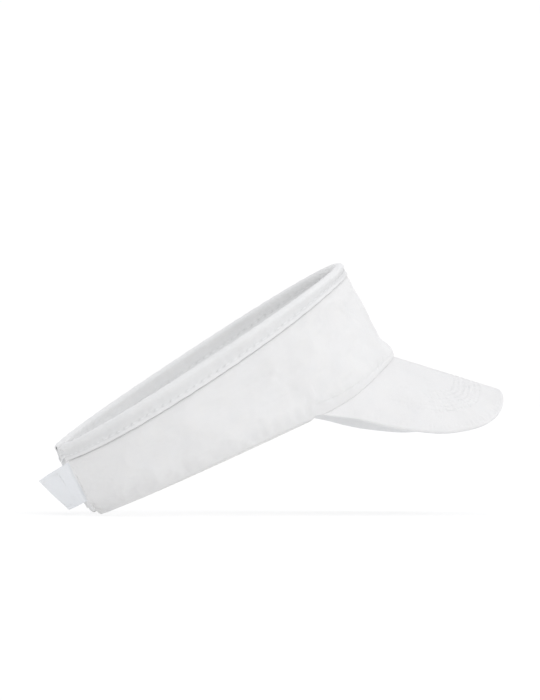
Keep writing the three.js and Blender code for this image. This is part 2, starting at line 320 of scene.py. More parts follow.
def simulate(grid, free, grow, pressure, bending, limit):
    """Lets a grid of cloth settle. free is 0 where it is sewn down; limit caps its move, in millimetres."""
    count, size = grid.shape[:2]
    mesh = bpy.data.meshes.new("settling")
    mesh.from_pydata(grid.reshape(-1, 3).tolist(), [], grid_faces(count, size).tolist())
    cloth = bpy.data.objects.new("settling", mesh)
    bpy.context.scene.collection.objects.link(cloth)
    pins = cloth.vertex_groups.new(name="sewn")
    for index, value in enumerate(np.broadcast_to(free, (count, size)).ravel()):
        pins.add([index], float(1 - value), "REPLACE")
    settings = cloth.modifiers.new("Cloth", "CLOTH").settings
    settings.vertex_group_mass = "sewn"
    settings.quality = SIM_STEPS
    settings.mass = SIM_MASS
    settings.tension_stiffness = SIM_STRETCH
    settings.compression_stiffness = SIM_STRETCH
    settings.shear_stiffness = SIM_SHEAR
    settings.bending_stiffness = bending
    settings.shrink_min = -grow
    settings.use_pressure = pressure != 0
    settings.uniform_pressure_force = pressure
    settings.effector_weights.gravity = 0
    scene = bpy.context.scene
    for number in range(1, SIM_FRAMES + 1):
        scene.frame_set(number)
    settled = cloth.evaluated_get(bpy.context.evaluated_depsgraph_get())
    points = np.zeros(count * size * 3)
    settled.data.vertices.foreach_get("co", points)
    bpy.data.objects.remove(cloth)
    scene.frame_set(1)
    moved = points.reshape(grid.shape) - grid
    length = np.maximum(np.linalg.norm(moved, axis=-1, keepdims=True), 1e-9)
    most = limit * MM
    return grid + moved / length * most * np.tanh(length / most)


# ---- Materials --------------------
class Shader:
    """A node material with a Principled shader and short helpers for its maths."""

    def __init__(self, name, colour, roughness, sheen=0.0, specular=0.3):
        self.material = bpy.data.materials.new(name)
        self.material.use_nodes = True
        self.tree = self.material.node_tree
        self.shader = next(n for n in self.tree.nodes if n.type == "BSDF_PRINCIPLED")
        self.shader.inputs["Base Color"].default_value = (*colour, 1)
        self.shader.inputs["Roughness"].default_value = roughness
        self.shader.inputs["Specular IOR Level"].default_value = specular
        self.shader.inputs["Sheen Weight"].default_value = sheen
        self.shader.inputs["Sheen Roughness"].default_value = 0.6
        coords = self.tree.nodes.new("ShaderNodeTexCoord")
        self.object = coords.outputs["Object"]
        split = self.tree.nodes.new("ShaderNodeSeparateXYZ")
        self.tree.links.new(coords.outputs["UV"], split.inputs[0])
        self.u, self.v = split.outputs["X"], split.outputs["Y"]

    def math(self, kind, a, b=0.0, c=0.0):
        node = self.tree.nodes.new("ShaderNodeMath")
        node.operation = kind
        for socket, value in zip(node.inputs, (a, b, c)):
            if isinstance(value, (int, float)):
                socket.default_value = value
            else:
                self.tree.links.new(value, socket)
        return node.outputs[0]

    def wave(self, a, period):
        """A smooth wave from 0 to 1 with that period in metres."""
        turned = self.math("MULTIPLY", a, 2 * math.pi / period)
        return self.math("MULTIPLY_ADD", self.math("SINE", turned), 0.5, 0.5)

    def noise(self, size, detail=2.0, stretch=(1, 1, 1)):
        """Noise from 0 to 1 whose lumps are about that size in metres."""
        mapping = self.tree.nodes.new("ShaderNodeMapping")
        mapping.inputs["Scale"].default_value = [s / size for s in stretch]
        self.tree.links.new(self.object, mapping.inputs["Vector"])
        node = self.tree.nodes.new("ShaderNodeTexNoise")
        node.inputs["Scale"].default_value = 1
        node.inputs["Detail"].default_value = detail
        self.tree.links.new(mapping.outputs[0], node.inputs["Vector"])
        return node.outputs["Fac"]

    def ramp(self, factor, stops):
        """A colour by a factor. stops are (place, colour)."""
        node = self.tree.nodes.new("ShaderNodeValToRGB")
        elements = node.color_ramp.elements
        while len(elements) < len(stops):
            elements.new(0.5)
        for element, (place, colour) in zip(elements, stops):
            element.position = place
            element.color = (*colour, 1)
        self.tree.links.new(factor, node.inputs[0])
        return node.outputs[0]

    def mix(self, factor, a, b, blend="MIX"):
        node = self.tree.nodes.new("ShaderNodeMix")
        node.data_type = "RGBA"
        node.blend_type = blend
        for socket, value in ((node.inputs[0], factor), (node.inputs[6], a), (node.inputs[7], b)):
            if isinstance(value, (int, float)):
                socket.default_value = value
            elif isinstance(value, tuple):
                socket.default_value = (*value, 1)
            else:
                self.tree.links.new(value, socket)
        return node.outputs[2]

    def colour(self, value):
        self.tree.links.new(value, self.shader.inputs["Base Color"])

    def roughness(self, value):
        self.tree.links.new(value, self.shader.inputs["Roughness"])

    def bump(self, height, depth, strength=1.0):
        node = self.tree.nodes.new("ShaderNodeBump")
        node.inputs["Distance"].default_value = depth
        node.inputs["Strength"].default_value = strength
        self.tree.links.new(height, node.inputs["Height"])
        self.tree.links.new(node.outputs[0], self.shader.inputs["Normal"])


def shaded(colour, share):
    """A share of a colour."""
    return tuple(c * share for c in colour)


COOL = (0.955, 0.975, 1.0)     # tint of the cooler patches in white cloth


def woven(name, colour, pitch, kind="twill", depth=0.00012, roughness=0.88, shade_tones=None, span=1.0):
    """Woven cloth: crossing yarns at the given pitch, uneven yarn, faint mottling of tint and tone.

    Painted shade across the cloth, where given: (place, share of the colour), from 0 to 1 over the span in
    metres."""
    s = Shader(name, colour, roughness, sheen=0.25)
    warp = s.wave(s.u, pitch)
    weft = s.wave(s.v, pitch)
    if kind == "twill":
        ribs = s.wave(s.math("MULTIPLY_ADD", s.v, 1.6, s.u), pitch * 1.9)
        weave = s.math("MULTIPLY_ADD", ribs, 0.65, s.math("MULTIPLY", warp, 0.35))
    elif kind == "ribbed":
        weave = s.math("MULTIPLY_ADD", weft, 0.25, s.math("MULTIPLY", warp, 0.75))
    else:
        weave = s.math("MULTIPLY", s.math("ADD", warp, weft), 0.5)
    slub = s.noise(0.0014, 3, (1, 1, 2.5))
    height = s.math("MULTIPLY_ADD", slub, 0.8, weave)
    cloud = s.noise(0.022, 2)
    patch = s.noise(0.009, 2)
    base = s.ramp(cloud, [(0.3, shaded(colour, 0.965)), (0.5, colour), (0.72, shaded(colour, 1.015))])
    cool = tuple(c * t for c, t in zip(colour, COOL))
    toned = s.mix(s.math("MULTIPLY", patch, 0.55), base, cool)
    gaps = s.ramp(weave, [(0.0, (0.93, 0.93, 0.935)), (0.45, (1, 1, 1))])
    # painted shade: the colour is darkened by these shares across the cloth
    if shade_tones:
        across = s.math("MULTIPLY", s.v, 1 / span)
        shade_shares = s.ramp(across, [(place, (share,) * 3) for place, share in shade_tones])
        toned = s.mix(1.0, toned, shade_shares, "MULTIPLY")
    s.colour(s.mix(0.7, toned, gaps, "MULTIPLY"))
    s.roughness(s.math("MULTIPLY_ADD", slub, 0.1, roughness - 0.05))
    s.bump(height, depth)
    return s.material


def terry(name, colour):
    """Looped towelling: close soft lumps with darker places between them."""
    s = Shader(name, colour, 0.97, 0.4)
    loops = s.noise(0.0011, 3)
    lumps = s.noise(0.004, 2)
    s.colour(s.ramp(loops, [(0.25, shaded(colour, 0.86)), (0.6, colour)]))
    s.bump(s.math("MULTIPLY_ADD", lumps, 0.6, loops), 0.0007)
    return s.material


def thread(name, colour):
    """Twisted sewing thread."""
    s = Shader(name, colour, 0.7, 0.15, 0.3)
    twist = s.wave(s.math("MULTIPLY_ADD", s.v, 1.0, s.u), 0.0005)
    s.colour(s.ramp(twist, [(0.0, shaded(colour, 0.94)), (0.7, colour)]))
    s.bump(twist, 0.00002)
    return s.material


def nylon(name, colour):
    """Stiff nylon of the hooks: slightly glossy and clear at its edges."""
    s = Shader(name, colour, 0.35, 0.0, 0.5)
    fleck = s.noise(0.0012, 2)
    s.colour(s.ramp(fleck, [(0.3, shaded(colour, 0.92)), (0.7, colour)]))
    s.roughness(s.math("MULTIPLY_ADD", fleck, 0.25, 0.25))
    return s.material


def board(name, colour):
    """Pressed board inside the brim."""
    s = Shader(name, colour, 0.55)
    fibres = s.noise(0.003, 4, (1, 4, 1))
    s.colour(s.ramp(fibres, [(0.3, shaded(colour, 0.9)), (0.7, colour)]))
    s.bump(fibres, 0.0001)
    return s.material


COTTON = (0.802, 0.797, 0.791)
BINDING_COTTON = (0.806, 0.805, 0.801)
CROWN_SPAN = 0.076
CROWN_PAINTED_SHADE = [(0, 0.9), (0.05, 0.93), (0.19, 1)]    # painted shade: a little darker towards the lower edge
TAPE_SPAN = 0.01
TAPE_PAINTED_SHADE = [(0, 1), (0.16, 1), (0.24, 0.945), (0.62, 0.935), (0.86, 0.99), (1, 1)]    # painted shade over the middle of each leg, fold and lower edge left light as if lit
MATERIALS = {
    "twill": woven("cotton_twill", COTTON, 0.00055),
    "crown": woven("crown_twill", COTTON, 0.00055, shade_tones=CROWN_PAINTED_SHADE, span=CROWN_SPAN),
    "under": woven("cotton_under", (0.82, 0.822, 0.825), 0.00055),
    "lining": woven("cotton_lining", (0.85, 0.853, 0.855), 0.0006, "plain"),
    "binding": woven("binding_tape", BINDING_COTTON, 0.0005, "plain", shade_tones=TAPE_PAINTED_SHADE, span=TAPE_SPAN),
    "tape": woven("hook_tape", (0.83, 0.845, 0.865), 0.0007, "ribbed", roughness=0.7),
    "buckram": woven("buckram", (0.74, 0.75, 0.73), 0.0016, "plain", depth=0.0004),
    "terry": terry("sweatband_terry", (0.835, 0.833, 0.82)),
    "loops": terry("loop_pile", (0.79, 0.80, 0.81)),
    "foam": terry("padding_foam", (0.80, 0.79, 0.74)),
    "thread": thread("white_thread", (0.85, 0.855, 0.86)),
    "hooks": nylon("hook_nylon", (0.80, 0.83, 0.86)),
    "board": board("brim_board_fibre", (0.74, 0.74, 0.72)),
}

# ---- Riding on the bodies --------------------
BLEND_START = to_row(32.3, 20.0, ORIGIN_HEIGHT)
BLEND_END = to_row(59.1, 36.6, ORIGIN_HEIGHT)


def on_band(piece, *nodes, slot=None):
    """The piece is baked into the row frame. It stands for the nodes, if it is given any."""
    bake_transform(piece)
    return stands_for(piece, nodes)


def on_body(piece, body, *nodes, slot=None):
    """The piece moves with one body."""
    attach(piece, body)
    return stands_for(piece, nodes)


def stands_for(piece, nodes):
    """Says which CAD nodes the piece takes the place of."""
    if nodes:
        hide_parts(*nodes)
    return piece


# ---- Stitches --------------------
STITCH_SIDES = 6
STITCH_STATIONS = 6
THREAD = 0.24                  # radius of the thread, and of a finer one
FINE_THREAD = 0.2


def along_line(points, normals, places):
    """Points and normals at given running lengths along a line."""
    length = arc_lengths(points)
    at = np.stack([np.interp(places, length, points[:, k]) for k in range(3)], -1)
    up = np.stack([np.interp(places, length, normals[:, k]) for k in range(3)], -1)
    return at, unit(up)


def tubes(name, centre, up, radius, material, flat=1.0):
    """One piece of many small closed tubes. centre and up are (tubes, stations, 3); radius is in metres."""
    count, stations = centre.shape[:2]
    radius = np.broadcast_to(radius, (count, stations))
    run = unit(np.gradient(centre, axis=1))
    side = unit(np.cross(run, up))
    rise = np.cross(side, run) * flat
    turn = np.linspace(0, 2 * math.pi, STITCH_SIDES, endpoint=False)[:, None]
    spoke = side[:, :, None] * np.cos(turn) + rise[:, :, None] * np.sin(turn)
    verts = centre[:, :, None] + spoke * radius[:, :, None, None]
    index = np.arange(count * stations * STITCH_SIDES).reshape(count, stations, STITCH_SIDES)
    near, far = index[:, :-1], index[:, 1:]
    quads = np.stack([near, np.roll(near, -1, 2), np.roll(far, -1, 2), far], -1)
    length = np.linalg.norm(np.diff(centre, axis=1), axis=-1).cumsum(axis=1)
    length = np.concatenate([np.zeros((count, 1)), length], axis=1)[:, :, None]
    girth = np.arange(STITCH_SIDES) * radius[:, :, None]
    wider = girth + radius[:, :, None]
    start, end = length[:, :-1] + 0 * girth[:, :-1], length[:, 1:] + 0 * girth[:, 1:]
    uv = np.stack([
        np.stack([start, girth[:, :-1]], -1), np.stack([start, wider[:, :-1]], -1),
        np.stack([end, wider[:, 1:]], -1), np.stack([end, girth[:, 1:]], -1),
    ], -2)
    caps = np.concatenate([index[:, 0, ::-1], index[:, -1]])
    faces = quads.reshape(-1, 4).tolist() + caps.tolist()
    uv = np.concatenate([uv.reshape(-1, 2), np.zeros((caps.size, 2))])
    return face_outwards(make_object(name, verts.reshape(-1, 3), faces, MATERIALS[material], uv))


def stitch_rows(name, rows, pitch, radius, share=0.72):
    """One piece for rows of stitches, each dipping into the cloth at both ends.

    rows holds (points, normals) or (points, normals, size of the stitches along the row)."""
    centres, ups, sizes = [], [], []
    t = np.linspace(0, 1, STITCH_STATIONS)
    swell = np.sin(math.pi * np.clip(t, 0.04, 0.96)) ** 0.5
    lift = (swell * 0.9 - 0.75) * radius * MM
    for points, normals, *size in rows:
        total = arc_lengths(points)[-1] / MM
        count = max(1, int(total / pitch))
        step = total / count
        middles = (np.arange(count) + 0.5) * step
        places = (middles[:, None] + (t - 0.5) * step * share) * MM
        at, up = along_line(points, normals, places)
        across = np.interp(places, arc_lengths(points), size[0]) if size else 1 + 0 * places
        centres.append(at + up * (lift * across)[..., None])
        ups.append(up)
        sizes.append(across)
    thick = radius * MM * (0.45 + 0.55 * swell) * np.concatenate(sizes)
    return tubes(name, np.concatenate(centres), np.concatenate(ups), thick, "thread", 0.8)


def line_on_wall(angles, height, depth, facing=1):
    """A row along the band: points and normals. height is a function of the angle."""
    n = height(angles)
    here = wall(angles, n, depth)
    above = wall(angles, n + 1, depth)
    normals = unit(np.cross(np.gradient(here, axis=0), above - here))
    outward = wall(angles, n, depth - 1) - here
    if np.einsum("ij,ij->i", normals, outward).mean() < 0:
        normals = -normals
    return here, normals * facing


# ---- Uneven cloth --------------------
MOTTLE_WAVES = 14
RIPPLE_WAVES = 9
EVENING = 0.6                  # brings a sum of waves to about -1 to 1


def mottle(a, b, size, seed):
    """Soft uneven ups and downs over two lengths in millimetres."""
    dice = np.random.default_rng(seed)
    total = 0
    for _ in range(MOTTLE_WAVES):
        heading = dice.uniform(0, 2 * math.pi)
        turn = 2 * math.pi / (size * dice.uniform(0.7, 1.6))
        wave = turn * (a * math.cos(heading) + b * math.sin(heading)) + dice.uniform(0, 2 * math.pi)
        total = total + np.sin(wave)
    return total * math.sqrt(2 / MOTTLE_WAVES) * EVENING


def ripple(a, pitch, seed):
    """Uneven waves along one length in millimetres."""
    dice = np.random.default_rng(seed)
    total = 0
    for _ in range(RIPPLE_WAVES):
        turn = 2 * math.pi / (pitch * dice.uniform(0.65, 1.6))
        total = total + np.sin(turn * a + dice.uniform(0, 2 * math.pi))
    return total * math.sqrt(2 / RIPPLE_WAVES) * EVENING


def resample(field, places):
    """Smooth values of a field at fractional places along its first axis."""
    i = np.clip(np.floor(places).astype(int), 0, len(field) - 2)
    f = (places - i).reshape(-1, *[1] * (field.ndim - 1))
    before, here, after, beyond = (field[np.clip(i + k, 0, len(field) - 1)] for k in (-1, 0, 1, 2))
    slope = (after - before) * f
    curve = (2 * before - 5 * here + 4 * after - beyond) * f ** 2
    return 0.5 * (2 * here + slope + curve + (3 * here - before - 3 * after + beyond) * f ** 3)


def resample_grid(field, count, size):
    """The same along both of its first axes."""
    longer = resample(field, np.linspace(0, len(field) - 1, count))
    return resample(longer.swapaxes(0, 1), np.linspace(0, field.shape[1] - 1, size)).swapaxes(0, 1)


# ---- Rim tape's visible width --------------------
WIDTH_WINDOW = 61              # in half degrees


def binding_width(angle):
    """The tape was sewn on unevenly: narrow at the front and wide at the sides, eased over 30 degrees."""
    at, width = np.array(BINDING_WIDTHS).T
    fine = np.linspace(-40, 220, 521)
    line = np.interp(np.abs(fine), at, width)
    window = np.hanning(WIDTH_WINDOW)
    soft = np.convolve(line, window / window.sum(), "same")
    whole = slice(WIDTH_WINDOW, -WIDTH_WINDOW)
    return np.interp(np.abs(angle), fine[whole], soft[whole])


# ---- Layers of the band --------------------
BRIM_GAP = 0.15                # between the band's layers and the brim's cover
MID_HEIGHT = 25                # running lengths are measured at this height


def band_arc():
    """Running length along the band against the angle round from the front, at middle height."""
    angles = np.linspace(-175, 175, 1401)
    points = wall(angles, MID_HEIGHT + 0 * angles, 0.0)
    return angles, arc_lengths(points) / MM


ARC_ANGLES, ARC_LENGTHS = band_arc()
FRONT_ARC = np.interp(0, ARC_ANGLES, ARC_LENGTHS)


def arc_of(angle):
    """Running length from the middle of the front to an angle."""
    return np.interp(angle, ARC_ANGLES, ARC_LENGTHS) - FRONT_ARC


def angle_of(arc):
    """The angle at a running length from the middle of the front."""
    return np.interp(arc + FRONT_ARC, ARC_LENGTHS, ARC_ANGLES)


END_ARC = arc_of(REAR_END)


def over_brim(angle, height, depth):
    """Keeps a point of the band above the brim's cover."""
    floor = brim_height(*wall_plan(angle, height, depth)) + BRIM_GAP
    return height + np.maximum(0, floor - height) * by_brim(angle, 1.5, 3)


def thicken(name, grid, thickness, material, flat=None):
    """A closed sheet of that thickness, half each side of a grid of points in the row frame."""
    half = grid_normals(grid) * (np.asarray(thickness) * MM / 2)[..., None]
    return sheet_solid(name, grid + half, grid - half, material, flat)


def inward_move(before, after, angle, height, depth):
    """How far each point of a settled grid moved inwards, in millimetres."""
    inward = unit(wall(angle, height, depth + 1.0) - wall(angle, height, depth))
    return np.einsum("...i,...i->...", after - before, inward) / MM


SHELL_STEP = 0.95              # between the crown cloth's columns of points
END_STEP = 0.45                # closer near its rear ends
SHELL_ROWS = 78
ROW_PLACES = ([0, 0.32, 0.75, 1], [0.004, 0.13, 0.78, 1])    # its rows are closer at both edges


def column_arcs():
    """Places along the band, closer together at its two ends."""
    near = np.concatenate([np.arange(0, 6, END_STEP), np.arange(6, 10, SHELL_STEP * 0.8)])
    inside = END_ARC - 10
    middle = np.linspace(-inside, inside, int(2 * inside / SHELL_STEP))
    return np.concatenate([-END_ARC + near, middle, END_ARC - near[::-1]])


LEFT_SKEW = 5.0                # how far each lower corner is cut back, over what length and height
LEFT_SKEW_RUN = 40
LEFT_SKEW_RISE = 26
RIGHT_SKEW = 2.6
RIGHT_SKEW_RUN = 24
RIGHT_SKEW_RISE = 13


def cut_back(arc, up):
    """The lower corners of the two rear ends are cut back, the left one more."""
    near_left = smooth(1 - (END_ARC - arc) / LEFT_SKEW_RUN)
    near_right = smooth(1 - (END_ARC + arc) / RIGHT_SKEW_RUN)
    left = LEFT_SKEW * near_left * smooth(1 - up / LEFT_SKEW_RISE)
    right = RIGHT_SKEW * near_right * smooth(1 - up / RIGHT_SKEW_RISE)
    return arc - left + right


# ---- Crown cloth --------------------
SEAM_RADIUS = 0.4              # the crown cloth is turned in sharply where it is sewn to the brim
SEAM_LIFT = 0.45
SEAM_FLARE = 0.85              # at the sides its fold lies on the steep brim
STIFFENER_END = 60
INWARD_FRONT = 0.22            # how far the cloth may settle inwards, over the stiffener and elsewhere
INWARD_ROOM = 0.8
END_STITCH = 2.8               # row of stitches inside each rear end
END_STITCH_DEPTH = 0.22        # it sits sunk in a groove
END_STITCH_PITCH = 2.9
TOPSTITCH = 3.2                # topstitch groove above the seam at the brim, and the length of its stitches
TOPSTITCH_PITCH = 3.1
TUCK = 1.6                     # how far the lower edge tucks in behind the brim
FLUSH = 0.55                   # how far the cloth stands out below the rim tape


def settled_shell():
    """Depth change of the crown cloth once it has settled between its sewn edges, on a coarse grid."""
    arcs = np.linspace(-END_ARC, END_ARC, SETTLED_COLUMNS)
    rise = np.linspace(0, 1, 17)
    angle = angle_of(arcs)[:, None] + 0 * rise
    low = lower_edge(angle, CLOTH)
    height = low + (rim_height(angle) - low) * rise
    start = mottle(arcs[:, None], height, 26, 3) * 0.35 * np.sin(math.pi * rise)
    grid = wall(angle, height, CLOTH / 2 - start)
    edge = np.minimum(rise / 0.12, (1 - rise) / 0.14)
    ends = (END_ARC - np.abs(arcs[:, None])) / 8
    free = smooth(np.minimum(edge, ends))
    settled = simulate(grid, free, grow=0.012, pressure=0.4, bending=0.6, limit=1.3)
    return inward_move(grid, settled, angle, height, CLOTH / 2 - start) - start


def turned_ends():
    """Places along the crown cloth and how deep it lies, with both rear ends turned in."""
    turn = np.linspace(0, math.pi, 9)[1:]
    hem_in = np.concatenate([HEM_RADIUS * (1 - np.cos(turn)), [2 * HEM_RADIUS] * 5])
    hem_back = np.concatenate([HEM_RADIUS * (1 - np.sin(turn)), HEM_RADIUS + np.linspace(1, HEM_RETURN, 5)])
    arcs = column_arcs()
    inner = arcs[np.abs(arcs) < END_ARC - HEM_RADIUS]
    right = -END_ARC + hem_back[::-1]
    depth = np.concatenate([hem_in[::-1], 0 * inner, hem_in])
    return np.concatenate([right, inner, -right[::-1]]), depth


def turned_under(angle):
    """Depth and rise of the rows turned under at the crown cloth's lower edge, most sharply on the brim."""
    curl = np.linspace(0, math.pi / 2, 6)
    fold = HEM_RADIUS + (SEAM_RADIUS - HEM_RADIUS) * by_brim(angle, 9, 9)
    depth = fold * np.concatenate([[1.8, 1.4], 1 - np.sin(curl)])
    return depth, fold * np.concatenate([[0, 0], 1 - np.cos(curl)])


def crown_cloth():
    """The outside cloth: turned under at the lower edge and round both rear ends."""
    arcs, hem_depth = turned_ends()
    rise = np.interp(np.linspace(0, 1, SHELL_ROWS), *ROW_PLACES)
    angle = angle_of(arcs)[:, None]
    over = by_brim(angle, *LOWER_EDGE_EASE)
    flare = SEAM_FLARE * over * smooth((np.abs(angle) - 25) / 30)
    under_depth, under_rise = turned_under(angle)
    low = lower_edge(angle, CLOTH)
    top = rim_height(angle)
    first = lower_edge(angle, under_depth + CLOTH / 2 - flare) + SEAM_LIFT * over + under_rise
    height = np.concatenate([first, first[:, -1:] + (top - first[:, -1:]) * rise], axis=1)
    folded = np.concatenate([under_depth, 0 * angle + 0 * rise], axis=1)
    depth = hem_depth[:, None] + folded * (1 - 0.9 * hem_depth[:, None] / (2 * HEM_RADIUS))
    arc = arcs[:, None] + 0 * height
    angle = angle_of(cut_back(arc, height - low))
    place = np.clip((height - low) / (top - low), 0, 1)
    settled = settled_at(SETTLED_SHELL, arc, place) * smooth(place / 0.05)
    depth = depth + held_back(settled, angle) * smooth((top - binding_width(angle) - height) / 6)
    depth = depth + shell_wrinkles(arc, angle, height, low, top, hem_depth[:, None])
    depth = depth - flare * gauss(np.maximum(0, height - first[:, -1:]) / 2.4)
    grid = wall(angle, height, depth + CLOTH / 2)
    piece = thicken("crown_cloth", grid, CLOTH, MATERIALS["crown"], np.stack([arc, height], -1) * MM)
    return on_band(piece, "crown_shell", "crown_shell_left", slot="white_twill")


def held_back(settled, angle):
    """The cloth can't settle inwards past the stiffener in front or the lining elsewhere."""
    room = INWARD_FRONT + (INWARD_ROOM - INWARD_FRONT) * smooth((np.abs(angle) - STIFFENER_END) / 12)
    return np.where(settled > 0, room * np.tanh(settled / room), settled)


def settled_at(field, arc, place):
    """A settled field, known on an even grid over the band, at any place on it."""
    rows = (arc[:, 0] + END_ARC) / (2 * END_ARC) * (len(field) - 1)
    wide = resample(field, np.clip(rows, 0, len(field) - 1))
    column = np.clip(place * (field.shape[1] - 1), 0, field.shape[1] - 1.001)
    i = np.floor(column).astype(int)
    f = smooth(column - i)
    line = np.arange(len(wide))[:, None]
    return wide[line, i] * (1 - f) + wide[line, np.minimum(i + 1, field.shape[1] - 1)] * f


def shell_wrinkles(arc, angle, height, low, top, hem):
    """Small unevenness of the crown cloth: depth change in millimetres."""
    up = height - low
    down = top - binding_width(angle) - height
    flat = smooth(up / 4) * smooth((down - 0.5) / 4)
    flush = -FLUSH * gauss(np.maximum(down, 0) / 7) * smooth((down + 0.2) / 1.3)
    soft = 0.16 * mottle(arc, height, 15, 11) + 0.06 * mottle(arc, height, 6, 12)
    under_tape = 0.05 * np.sin(2 * math.pi * arc / BINDING_PITCH) * gauss(down / 4)
    edge = lower_relief(arc, angle, up)
    ends = end_relief(END_ARC - np.abs(arc), height, up)
    outside = 1 - smooth(hem / HEM_RADIUS)
    return flat * soft + flush + outside * (under_tape + edge + ends)


def lower_relief(arc, angle, up):
    """Welt, topstitch groove and puckers along the seam to the brim, and the tucked edge behind it."""
    beat = 0.75 + 0.25 * np.cos(2 * math.pi * arc / TOPSTITCH_PITCH)
    topstitch = 0.42 * gauss((up - TOPSTITCH) / 0.55) * beat
    welt = 0.15 * gauss((up - TOPSTITCH / 2) / 0.9)
    puckers = 0.13 * ripple(arc, 7, 13) * gauss((up - 4) / 4)
    behind = smooth((np.abs(angle) - BRIM_END + 1) / 14)
    tucked = TUCK * smooth(1 - up / 12) ** 2
    waves = 0.2 * ripple(arc, 10, 14) * gauss((up - 3) / 4)
    return by_brim(angle, 1, 5) * (puckers + topstitch - welt) + behind * (tucked + waves)


def end_relief(to_end, height, up):
    """Row of stitches, pulled folds and puckered lower corner of each rear end."""
    row = 0.28 * gauss((to_end - END_STITCH) / 0.7)
    folds = 0.3 * ripple(height, 9, 15) * gauss((to_end - 7) / 5) * smooth(up / 3)
    corner = 0.6 * gauss((to_end - 5) / 4) * gauss((up - 5) / 3.5) * (1 + np.sin(up * 1.9 + to_end))
    return row + folds + corner


# ---- Lining, stiffener, padding --------------------
LAYER_STEP = 1.6


def plain_layer(name, material, outer, inner, low, high, end, rows, wrinkle=0.0, seed=1):
    """A plain layer of the band from one depth to another. low and high are functions of the angle."""
    arcs = np.linspace(-end, end, int(2 * end / LAYER_STEP))
    angle = angle_of(arcs)[:, None] + np.zeros(rows)
    base, top = low(angle), high(angle)
    rise = np.linspace(0, 1, rows)
    height = base + (top - base) * rise
    middle = (outer + inner) / 2
    flat = np.sin(math.pi * rise) ** 0.5
    depth = middle + wrinkle * mottle(arcs[:, None], height, 14, seed) * flat
    angle = angle_of(cut_back(arcs[:, None], height - lower_edge(angle, CLOTH)))
    grid = wall(angle, height, depth)
    return thicken(name, grid, inner - outer, MATERIALS[material])


LINING_DEPTH = (2.1, 2.6)      # outer and inner face
LINING_GAP = 0.4               # its edges stop this far from the band's
LINING_RISE = 1.8              # and it is cut higher where there is no brim


def lining_low(angle):
    """The lining's lower edge, on the brim in front."""
    beyond = smooth((np.abs(angle) - BRIM_END) / 6)
    inner = LINING_DEPTH[1]
    return over_brim(angle, lower_edge(angle, inner) + LINING_GAP + LINING_RISE * beyond, inner)


def lining_high(angle):
    return rim_height(angle) - LINING_GAP


def crown_lining():
    """The inside cloth, tucked into the turned rear ends."""
    piece = plain_layer("crown_lining_cloth", "lining", *LINING_DEPTH, lining_low, lining_high,
                        END_ARC - HEM_RADIUS - 0.9, 48, 0.12, 21)
    return on_band(piece, "crown_lining", "crown_lining_left", slot="lining_cotton")


STIFFENER_DEPTH = (1.3, 1.9)
STIFFENER_FOOT = 1.8           # depth at which it stands over the brim, with this gap
STIFFENER_GAP = 0.5
STIFFENER_TOP_GAP = 11


def stiffener_low(angle):
    return over_brim(angle, lower_edge(angle, STIFFENER_FOOT) + STIFFENER_GAP, STIFFENER_FOOT)


def stiffener_high(angle):
    return rim_height(angle) - STIFFENER_TOP_GAP


def stiffener():
    """Buckram between crown cloth and lining, over the forehead."""
    piece = plain_layer("front_stiffener_cloth", "buckram", *STIFFENER_DEPTH, stiffener_low, stiffener_high,
                        arc_of(STIFFENER_END), 24)
    return on_body(piece, "visor", "front_stiffener", slot="buckram")


# ---- Sweatband --------------------
SWEATBAND_HEIGHT = 30
SWEATBAND_EASE = 14            # degrees over which its upper edge evens out
SWEATBAND_STEP = 1.1
SWEATBAND_ROWS = 44
SEAM_CLEAR = 1.4               # raises its lower edge where the brim is sewn on
TERRY = 0.8                    # thickness of the towelling
TERRY_DEPTH = 3.1              # middle of the towelling where it is sewn down
TERRY_SWELL = 1.25             # and how much further in it lies over the foam
TERRY_STITCH = 1.1             # rows of stitches this far inside its edges
TERRY_STITCH_DEPTH = 4.3
TERRY_PITCH = 3.0
PADDING_INSET = 3.2
PADDING_DEPTH = (2.9, 3.65)    # outer and inner face of the foam


def sweatband_low(angle):
    """Half way between the crown's lower edge and level."""
    shell_low = lower_edge(angle, CLOTH, 0.0)
    return 1 + (shell_low + SEAM_CLEAR * by_brim(angle, 1.5, 3)) / 2


def sweatband_high(angle):
    """A smooth line, without the lower edge's step at the brim's corners."""
    nearby = [sweatband_low(angle + turn) for turn in np.linspace(-SWEATBAND_EASE, SWEATBAND_EASE, 13)]
    return sum(nearby) / len(nearby) - 1 + SWEATBAND_HEIGHT


def terry_depth(rise):
    """Middle of the towelling: sewn down at both edges, and out over the foam between them."""
    return TERRY_DEPTH + TERRY_SWELL * (1 - (2 * rise - 1) ** 12)


def settled_terry(end):
    """Depth change of the towelling once it has swelled over the foam, on a coarse grid."""
    arcs = np.linspace(-end, end, SETTLED_COLUMNS)
    rise = np.linspace(0, 1, 9)
    angle = angle_of(arcs)[:, None] + 0 * rise
    height = sweatband_low(angle) + (sweatband_high(angle) - sweatband_low(angle)) * rise
    depth = terry_depth(rise) + 0.12 * mottle(arcs[:, None], height, 20, 31)
    grid = wall(angle, height, depth)
    edge = smooth(np.minimum(rise, 1 - rise) / 0.24)
    ends = smooth((end - np.abs(arcs[:, None])) / 8)
    settled = simulate(grid, np.minimum(edge, ends), grow=0.025, pressure=-1.2, bending=0.5, limit=1.1)
    return inward_move(grid, settled, angle, height, depth)


